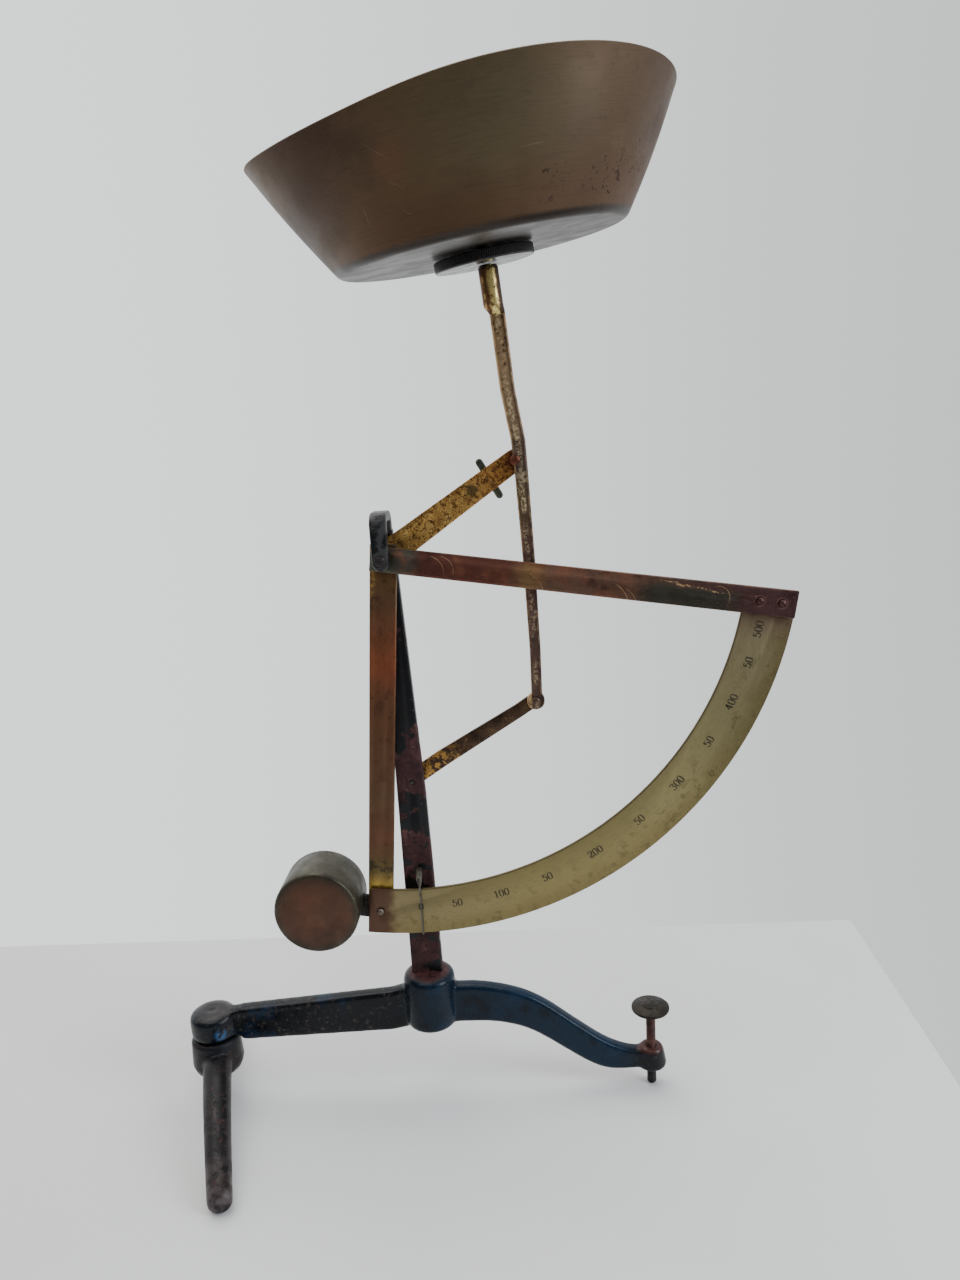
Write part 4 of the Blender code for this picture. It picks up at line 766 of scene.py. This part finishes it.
def placed(name, mesh, body, material, replaced=()):
    """Adds the piece to the scene, on its body."""
    piece = bpy.data.objects.new(name, mesh)
    bpy.context.scene.collection.objects.link(piece)
    mesh.materials.clear()
    mesh.materials.append(material)
    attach(piece, body)
    if replaced:
        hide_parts(*replaced)
    return piece


def body_of(node):
    return next(body for body, nodes in BODIES.items() if node in nodes)


def instead_of(node, mesh, material, name=None):
    """Adds the mesh in place of the node, on the node's body."""
    return placed(name or node + "_finish", mesh, body_of(node), material, [node])


def copied(node):
    """The node's mesh with its corners joined and its flat faces whole."""
    work = bmesh.new()
    work.from_mesh(frame["nodes"][node].data)
    bmesh.ops.remove_doubles(work, verts=work.verts, dist=2e-6)
    bmesh.ops.dissolve_limit(work, angle_limit=math.radians(0.5), verts=work.verts, edges=work.edges)
    mesh = bpy.data.meshes.new(node + "_mesh")
    work.to_mesh(mesh)
    work.free()
    for name in ("custom_normal", "sharp_face"):
        if name in mesh.attributes:
            mesh.attributes.remove(mesh.attributes[name])
    return mesh


def settled(mesh, modifiers):
    """The mesh after these modifiers, each given as (type, settings)."""
    holder = bpy.data.objects.new("holder", mesh)
    bpy.context.scene.collection.objects.link(holder)
    for kind, settings in modifiers:
        modifier = holder.modifiers.new(kind, kind)
        for key, value in settings.items():
            setattr(modifier, key, value)
    graph = bpy.context.evaluated_depsgraph_get()
    made = bpy.data.meshes.new_from_object(holder.evaluated_get(graph))
    bpy.data.objects.remove(holder)
    return made


def bevelled(node, width, material, segments=2):
    """The node with its outer edges rounded off."""
    settings = {
        "width": width, "segments": segments, "limit_method": "ANGLE", "angle_limit": math.radians(40),
        "use_clamp_overlap": True, "miter_outer": "MITER_ARC",
    }
    mesh = settled(copied(node), [("BEVEL", settings)])
    smooth(mesh)
    return instead_of(node, mesh, material)


def cast(node, voxel, rounds, material, plugs=(), shaped=None, swell=0.0):
    """The node as a casting, with rounded corners and filled inner corners.

    Plugs (x, y, radius, low, high) fill its holes, and swell gives back what the rounding takes off."""
    mesh = copied(node)
    work = bmesh.new()
    work.from_mesh(mesh)
    for x, y, radius, low, high in plugs:
        bmesh.ops.create_cone(
            work, cap_ends=True, segments=32, radius1=radius, radius2=radius, depth=high - low,
            matrix=Matrix.Translation((x, y, (low + high) / 2)),
        )
    work.to_mesh(mesh)
    work.free()
    mesh = settled(mesh, [("REMESH", {"mode": "VOXEL", "voxel_size": voxel, "adaptivity": 0.0})])
    if shaped:
        for vert in mesh.vertices:
            vert.co.z += shaped(vert.co)
    mesh = settled(mesh, [("SMOOTH", {"factor": 0.5, "iterations": rounds})])
    normals = [vert.normal.copy() for vert in mesh.vertices]
    for vert, normal in zip(mesh.vertices, normals):
        away = math.hypot(vert.co.x - LEFT_BOSS[0], vert.co.y - LEFT_BOSS[1]) > 0.0125 and vert.co.z > 0.004
        vert.co += Vector((normal.x, normal.y, normal.z if away else 0.0)) * swell
    smooth(mesh, 80)
    return instead_of(node, mesh, material)


def base_shape(co):
    """How far the top is raised or lowered here: a domed boss, and a mound round the post's foot."""
    along, across = co.x - LEFT_BOSS[0], co.y - LEFT_BOSS[1]
    off = math.hypot(along, across)
    if off < BOSS_RADIUS and co.z > BOSS_SHOULDER:
        share = min(1.0, (co.z - BOSS_SHOULDER) / (BOSS_TOP - BOSS_SHOULDER))
        dimple = 0.0011 * max(0.0, 1 - (off / 0.0019) ** 2) if co.z > BOSS_TOP - 0.0013 else 0.0
        joined = max(0.0, min(1.0, (along - 0.0030) / 0.0035)) if abs(across) < 0.0046 else 0.0
        return -share * 0.0014 * min(1.1, off / 0.0092) ** 4 * (1 - joined) - dimple
    off = math.hypot(co.x - HUB[0], co.y - HUB[1])
    if off < MOUND_RADIUS and co.z > HUB_TOP - 0.0010:
        lumps = 0.00025 * math.sin(900 * co.x + 1) * math.sin(1100 * co.y)
        return 0.0012 * (1 - (off / MOUND_RADIUS) ** 2) + lumps
    return 0.0


def bridged(work, low, high):
    """Faces between two rings of the same length."""
    for corners in zip(low, low[1:] + low[:1], high[1:] + high[:1], high):
        work.faces.new(corners)


def mesh_from(work, name):
    """The closed mesh built in work, which is freed."""
    bmesh.ops.recalc_face_normals(work, faces=work.faces)
    mesh = bpy.data.meshes.new(name)
    work.to_mesh(mesh)
    work.free()
    return mesh


def make_socket(material):
    """The ferrule: round at the top, and drawn in to the flat rod at its lower end."""
    spin = Vector(UP).rotation_difference(SOCKET_AXIS).to_matrix()
    full, length, bore = SOCKET_RADIUS, SOCKET_LENGTH, SOCKET_BORE
    sections = [
        (-0.0014, 0.00100, 0.00262, 0.00128), (-0.0007, 0.00086, 0.00280, 0.00190),
        (0.0002, 0.00055, 0.00305, 0.00260), (0.0012, 0.00018, 0.00332, 0.00318),
        (0.0022, 0.0, full, full), (length * 0.5, 0.0, full, full), (length - 0.0004, 0.0, full, full),
        (length - 0.0001, 0.0, full - 0.00012, full - 0.00012), (length, 0.0, full - 0.0004, full - 0.0004),
        (length, 0.0, bore, bore), (0.0048, 0.0, bore, bore),
    ]
    work = bmesh.new()
    rings = []
    for height, shift, wide, deep in sections:
        ring = []
        for k in range(SOCKET_STEPS):
            turn = 2 * math.pi * k / SOCKET_STEPS
            spot = Vector((shift + wide * math.cos(turn), deep * math.sin(turn), height))
            ring.append(work.verts.new(SOCKET_BASE + spin @ spot))
        rings.append(ring)
    for low, high in zip(rings, rings[1:]):
        bridged(work, low, high)
    work.faces.new(rings[0][::-1])
    work.faces.new(rings[-1])
    mesh = mesh_from(work, "socket_mesh")
    smooth(mesh, 40)
    instead_of("rod_socket", mesh, material, "drawn_socket")


def make_stem(material):
    """The collar and stem, with the collar let into the disc above it."""
    top = SOCKET_BASE + SOCKET_AXIS * SOCKET_LENGTH
    mesh = copied("pan_stem")
    for vert in mesh.vertices:
        if (vert.co - top).dot(SOCKET_AXIS) > 0.001:
            vert.co += SOCKET_AXIS * 0.0009
    smooth(mesh)
    instead_of("pan_stem", mesh, material, "let_in_stem")


def pan_meridian(angle, offset):
    """(radius, height) points of the sheet at this angle, at a distance inside its outer face."""
    from_lip = math.pi - abs(angle - math.pi * 2 * round(angle / (2 * math.pi)))
    reach_out = LIP_REACH * math.exp(-((from_lip / REACH_SPREAD) ** 2))
    off_centre = RIM_RADIUS**2 - (RIM_SHIFT * math.sin(angle)) ** 2
    rim_radius = RIM_SHIFT * math.cos(angle) + math.sqrt(off_centre) + reach_out
    rim_height = PAN_DEPTH + LIP_RISE * math.exp(-((from_lip / RISE_SPREAD) ** 2))
    rim_height += RIM_SLOPE[0] * (rim_radius * math.cos(angle) - RIM_SHIFT)
    rim_height += RIM_SLOPE[1] * rim_radius * math.sin(angle)
    rim, centre = Vector((rim_radius, rim_height)), Vector((FLAT_RADIUS, CORNER))
    reach = rim - centre
    flank = math.atan2(reach.y, reach.x) - math.acos(CORNER / reach.length)
    outward = Vector((math.cos(flank), math.sin(flank)))
    flat = (FLAT_RADIUS - RIVET_HOLE) / FLAT_STEPS
    points = [(RIVET_HOLE + flat * k, offset) for k in range(FLAT_STEPS + 1)]
    for k in range(1, CORNER_STEPS + 1):
        turn = -math.pi / 2 + (flank + math.pi / 2) * k / CORNER_STEPS
        spot = centre + Vector((math.cos(turn), math.sin(turn))) * (CORNER - offset)
        points.append((spot.x, spot.y))
    tangent = centre + outward * CORNER
    for k in range(1, FLANK_STEPS + 1):
        part = k / FLANK_STEPS
        spot = tangent.lerp(rim, part) + outward * (FLANK_BULGE * math.sin(math.pi * part) - offset)
        points.append((spot.x, spot.y))
    return points


def dent(angle, height):
    """How far the old sheet is pushed in or out here: long shallow waves left by spinning and use."""
    waves = 0.5 * math.sin(3 * angle + 0.7) + 0.35 * math.sin(7 * angle + 90 * height)
    waves += 0.2 * math.sin(13 * angle + 2.1)
    return 0.00012 * waves * min(1.0, height / 0.010) * max(0.0, 1 - height / 0.040)


def make_pan():
    lean = Vector(UP).rotation_difference(PAN_AXIS).to_matrix()
    work = bmesh.new()
    rings = []
    for n in range(PAN_STEPS):
        angle = 2 * math.pi * n / PAN_STEPS
        outer, inner = pan_meridian(angle, 0.0), pan_meridian(angle, SHEET)
        top_out, top_in = Vector(outer[-1]), Vector(inner[-1])
        rim = (top_out + top_in) / 2
        # The sheet's edge is rounded: its corners are lowered and drawn in
        outer[-1] = tuple(top_out.lerp(rim, 0.15) - Vector((0, RIM_ROUND)))
        inner[-1] = tuple(top_in.lerp(rim, 0.15) - Vector((0, RIM_ROUND)))
        profile = outer + [tuple(rim - Vector((0, 0.00002)))] + inner[::-1]
        ring = []
        for radius, height in profile:
            radius += dent(angle, height)
            spot = Vector((radius * math.cos(angle), radius * math.sin(angle), height))
            ring.append(work.verts.new(PAN_BASE + lean @ spot))
        rings.append(ring)
    for a, b in zip(rings, rings[1:] + rings[:1]):
        bridged(work, a, b)
    mesh = mesh_from(work, "pan_sheet_mesh")
    smooth(mesh, 50)
    instead_of("pan", mesh, pan_finish(), "pan_sheet")


# Pen strokes of the stamped figures, in figure heights
FIGURES = {
    "0": [
        [(0.30, 1.0), (0.10, 0.86), (0.05, 0.5), (0.10, 0.14), (0.30, 0.0), (0.50, 0.14), (0.55, 0.5),
         (0.50, 0.86), (0.30, 1.0)],
    ],
    "1": [
        [(0.10, 0.78), (0.24, 0.86), (0.31, 1.0)],
        [(0.31, 1.0), (0.31, 0.5), (0.31, 0.0)],
        [(0.10, 0.02), (0.31, 0.02), (0.52, 0.02)],
    ],
    "2": [
        [(0.16, 0.72), (0.07, 0.78), (0.12, 0.93), (0.30, 1.0), (0.49, 0.91), (0.52, 0.74), (0.42, 0.52),
         (0.20, 0.27), (0.05, 0.05)],
        [(0.05, 0.05), (0.22, 0.12), (0.40, 0.03), (0.54, 0.08), (0.56, 0.22)],
    ],
    "3": [
        [(0.12, 0.80), (0.14, 0.94), (0.30, 1.0), (0.46, 0.92), (0.48, 0.75), (0.38, 0.58), (0.22, 0.54)],
        [(0.22, 0.54), (0.42, 0.50), (0.54, 0.32), (0.50, 0.10), (0.30, 0.0), (0.12, 0.05), (0.08, 0.20)],
    ],
    "4": [
        [(0.40, 1.0), (0.22, 0.66), (0.03, 0.30)],
        [(0.03, 0.28), (0.30, 0.28), (0.58, 0.28)],
        [(0.41, 1.0), (0.41, 0.5), (0.41, 0.0)],
    ],
    "5": [
        [(0.14, 0.97), (0.32, 0.93), (0.50, 0.99)],
        [(0.13, 0.97), (0.12, 0.75), (0.11, 0.54)],
        [(0.11, 0.54), (0.28, 0.63), (0.46, 0.56), (0.54, 0.34), (0.47, 0.10), (0.27, 0.0), (0.10, 0.06),
         (0.08, 0.20)],
    ],
}


def stroke_points(points, steps=5):
    """A smooth line through the points."""
    spots = [Vector(p) for p in points]
    spots = [spots[0] * 2 - spots[1]] + spots + [spots[-1] * 2 - spots[-2]]
    found = []
    for a, b, c, d in zip(spots, spots[1:], spots[2:], spots[3:]):
        bend, twist = 2 * a - 5 * b + 4 * c - d, 3 * b - a - 3 * c + d
        for k in range(steps):
            t = k / steps
            found.append(0.5 * (2 * b + (c - a) * t + bend * t**2 + twist * t**3))
    return found + [spots[-2]]


def add_bar(work, line, widths, to_world, proud, sunk):
    """A flat closed ribbon along line, from sunk inside the dial's face to proud of it."""
    rings = []
    for n, spot in enumerate(line):
        ahead = line[min(n + 1, len(line) - 1)] - line[max(n - 1, 0)]
        side = Vector((-ahead.y, ahead.x)).normalized() * widths(ahead.normalized()) / 2
        ring = []
        for sign, depth in ((1, sunk), (1, -proud), (-1, -proud), (-1, sunk)):
            place = to_world(spot + side * sign)
            ring.append(work.verts.new((place.x, DIAL_FRONT + depth, place.z)))
        rings.append(ring)
    for a, b in zip(rings, rings[1:]):
        bridged(work, a, b)
    work.faces.new(rings[0][::-1])
    work.faces.new(rings[-1])


def pen(ahead):
    """Stroke width of the stamped figures, in figure heights: thick upright, thin level."""
    return 0.065 + 0.125 * abs(ahead.y) ** 1.5


def dial_spot(degrees, radius, shift):
    """The point on the dial at this angle from straight down, moved by shift to the right."""
    turn = math.radians(degrees)
    out = Vector((math.sin(turn), 0, -math.cos(turn)))
    right = Vector((math.cos(turn), 0, math.sin(turn)))
    return PIVOT + out * radius + right * shift


def finished_marks(work, name, material):
    placed(name, mesh_from(work, name + "_mesh"), "quadrant", material)


def make_figures():
    work = bmesh.new()
    for n, degrees in enumerate(MARK_DEG):
        text = str(n * 50) if n % 2 == 0 else "50"
        for k, digit in enumerate(text):
            left = (k - (len(text) - 1) / 2) * FIGURE_PITCH - 0.30 * FIGURE_HEIGHT
            for stroke in FIGURES[digit]:
                def to_dial(spot, at=degrees, left=left):
                    radius = FIGURE_RADIUS - (spot.y - 0.5) * FIGURE_HEIGHT
                    return dial_spot(at, radius, left + spot.x * FIGURE_HEIGHT)

                add_bar(work, stroke_points(stroke), pen, to_dial, 0.00003, 0.00002)
    finished_marks(work, "dial_figures", ink_finish("stamped_ink", (46, 39, 24), (84, 74, 48)))


def make_ticks():
    work = bmesh.new()
    for step in range(51):
        n, part = divmod(step, 5)
        share = part / 5
        degrees = MARK_DEG[n] if part == 0 else MARK_DEG[n] * (1 - share) + MARK_DEG[n + 1] * share
        inner = LONG_TICK if part == 0 else SHORT_TICK
        line = [Vector((0.0, inner)), Vector((0.0, TICK_END))]

        def to_dial(spot, at=degrees):
            return dial_spot(at, spot.y, spot.x)

        add_bar(work, line, lambda ahead: TICK_WIDTH, to_dial, 0.00002, 0.00002)
    finished_marks(work, "dial_ticks", ink_finish("worn_tick_ink", (104, 92, 58), (132, 120, 80)))


# --- the pieces --------------------------------------------------------------


def dress_all():
    make_pan()
    bevelled("pan_disc", 0.0002, disc_shade_finish())
    socket = socket_finish()
    make_socket(socket)
    make_stem(socket)
    rod = rod_finish()
    bevelled("pan_rod", 0.0005, rod, 3)
    bevelled("lower_rod_pin", 0.00015, rod)
    arm = long_arm_finish()
    bevelled("long_arm", 0.00022, arm)
    for node in ("arm_rivet_1", "arm_rivet_2"):
        bevelled(node, SMALL_EDGE, arm)
    bevelled("down_arm", 0.00022, down_arm_finish())
    lever = lever_finish()
    bevelled("lever_arm", 0.00022, lever)
    bevelled("scale_arc", 0.00015, dial_finish())
    bevelled("counterweight", 0.0007, weight_finish(), 3)
    bevelled("post", 0.0005, post_finish(), 3)
    bevelled("lower_link", 0.0002, link_finish())
    plugs = [(*HUB, 0.0085, 0.0340, HUB_TOP), (*LEFT_BOSS, 0.0032, 0.0290, BOSS_TOP)]
    cast("base_casting", 0.0005, 48, base_finish(), plugs, base_shape, 0.00030)
    cast("swivel_foot", 0.0005, 12, foot_finish(), swell=0.00012)
    bevelled("levelling_screw", SMALL_EDGE, screw_finish())
    for node in ("clip_rivet", "quadrant_bush"):
        bevelled(node, SMALL_EDGE, lever)
    small = {
        "balance_clip": ("clip_grey_green", (92, 94, 80), (62, 64, 54), (126, 128, 108)),
        "counterweight_lug": ("lug_black", (40, 38, 36), (24, 23, 23), (78, 72, 66)),
        "weight_screw": ("screw_steel", (140, 136, 128), (92, 86, 78), (176, 172, 164)),
        "corner_rivet": ("corner_steel", (112, 98, 88), (66, 46, 40), (160, 148, 136)),
        "upper_rod_pin": ("pin_rust", (112, 62, 46), (58, 34, 28), (150, 104, 82)),
        "main_pivot_pin": ("pin_dark", (58, 54, 52), (34, 32, 32), (98, 92, 88)),
        "pivot_washer": ("washer_brass", (92, 84, 62), (60, 54, 40), (128, 116, 84)),
        "pointer": ("pointer_wire", (92, 88, 78), (60, 56, 48), (140, 138, 132)),
        "foot_pivot_pin": ("pin_black", (30, 27, 26), (18, 17, 17), (56, 50, 48)),
        "levelling_head": ("head_olive", (40, 35, 29), (26, 23, 20), (68, 60, 48)),
        "pan_rivet": ("pan_rivet_brown", (112, 88, 64), (70, 54, 42), (150, 122, 84)),
    }
    for node, look in small.items():
        material = metal_finish(*look)
        bevelled(node, SMALL_EDGE, material)
        if node == "main_pivot_pin":
            bevelled("link_pin", SMALL_EDGE, material)
    make_figures()
    make_ticks()


# --- floor, light and camera -------------------------------------------------


def make_floor():
    """A pale table top with a soft edge behind the scale and to its right."""
    work = bmesh.new()
    bmesh.ops.create_cube(work, size=1.0)
    for vert in work.verts:
        vert.co.x = TABLE_RIGHT if vert.co.x > 0 else TABLE_LEFT
        vert.co.y = TABLE_BACK if vert.co.y > 0 else TABLE_FRONT
        vert.co.z = 0.0 if vert.co.z > 0 else -TABLE_THICK
    bmesh.ops.bevel(work, geom=work.edges[:], offset=0.0015, segments=4, profile=0.5, affect="EDGES")
    mesh = mesh_from(work, "table_mesh")
    s = Finish("pale_table")
    s.colour = s.mix(s.speckle(0.35, 0.65, 4, 3.0), (0.70, 0.70, 0.69, 1), (0.75, 0.75, 0.745, 1))
    material = s.done(0.55, 0.0, s.bump(s.noise(900, 3.0), 0.00002))
    floor = bpy.data.objects.new("floor", mesh)
    bpy.context.scene.collection.objects.link(floor)
    mesh.materials.append(material)


def make_world():
    """A pale room: bright behind the scale, a little darker to its right, and dim in front of it."""
    world = bpy.data.worlds.new("room")
    bpy.context.scene.world = world
    world.use_nodes = True
    tree = world.node_tree
    tree.nodes.clear()
    way = add_node(tree, "ShaderNodeTexCoord").outputs["Generated"]
    split = add_node(tree, "ShaderNodeSeparateXYZ", {0: way})
    tones = []
    for low, high, axis, dim, bright in (
        (-0.30, 0.40, 1, ROOM_FRONT, ROOM_BACK), (0.55, -0.50, 0, ROOM_RIGHT, ROOM_LEFT),
    ):
        given = {0: split.outputs[axis], 1: low, 2: high}
        turn = add_node(tree, "ShaderNodeMapRange", given, interpolation_type="SMOOTHSTEP").outputs[0]
        tone = add_node(tree, "ShaderNodeMix", {0: turn, 6: dim, 7: bright}, data_type="RGBA")
        tones.append(tone.outputs[2])
    given = {0: 1.0, 6: tones[0], 7: tones[1]}
    both = add_node(tree, "ShaderNodeMix", given, data_type="RGBA", blend_type="MULTIPLY").outputs[2]
    shade = add_node(tree, "ShaderNodeBackground", {"Color": both, "Strength": 1.0}).outputs[0]
    add_node(tree, "ShaderNodeOutputWorld", {"Surface": shade})


def softbox(name, place, aim, size, watts, colour):
    data = bpy.data.lights.new(name, "AREA")
    data.shape, data.size, data.size_y = "RECTANGLE", size[0], size[1]
    data.energy, data.color = watts, colour
    lamp = bpy.data.objects.new(name, data)
    bpy.context.scene.collection.objects.link(lamp)
    lamp.location = place
    lamp.rotation_euler = (Vector(aim) - Vector(place)).to_track_quat("-Z", "Y").to_euler()


def make_camera():
    data = bpy.data.cameras.new("view")
    data.sensor_width, data.lens = 36.0, CAMERA_LENS
    data.clip_start, data.clip_end = 0.01, 20.0
    camera = bpy.data.objects.new("view", data)
    bpy.context.scene.collection.objects.link(camera)
    aim = Euler((math.pi / 2 - CAMERA_DOWN, 0.0, CAMERA_TURN)).to_matrix()
    roll = Matrix.Rotation(CAMERA_ROLL, 3, "Z")
    camera.matrix_world = Matrix.Translation(CAMERA_PLACE) @ (aim @ roll).to_4x4()
    bpy.context.scene.camera = camera


dress_all()
make_floor()
make_world()
softbox("window", (0.98, -0.42, 0.60), (0.0, 0.0, 0.15), (0.5, 0.9), 12.0, (0.84, 0.92, 1.0))
softbox("ceiling", (-0.2, 0.1, 1.3), (0.0, 0.0, 0.0), (1.4, 1.4), 16.0, (1.0, 0.98, 0.95))
make_camera()
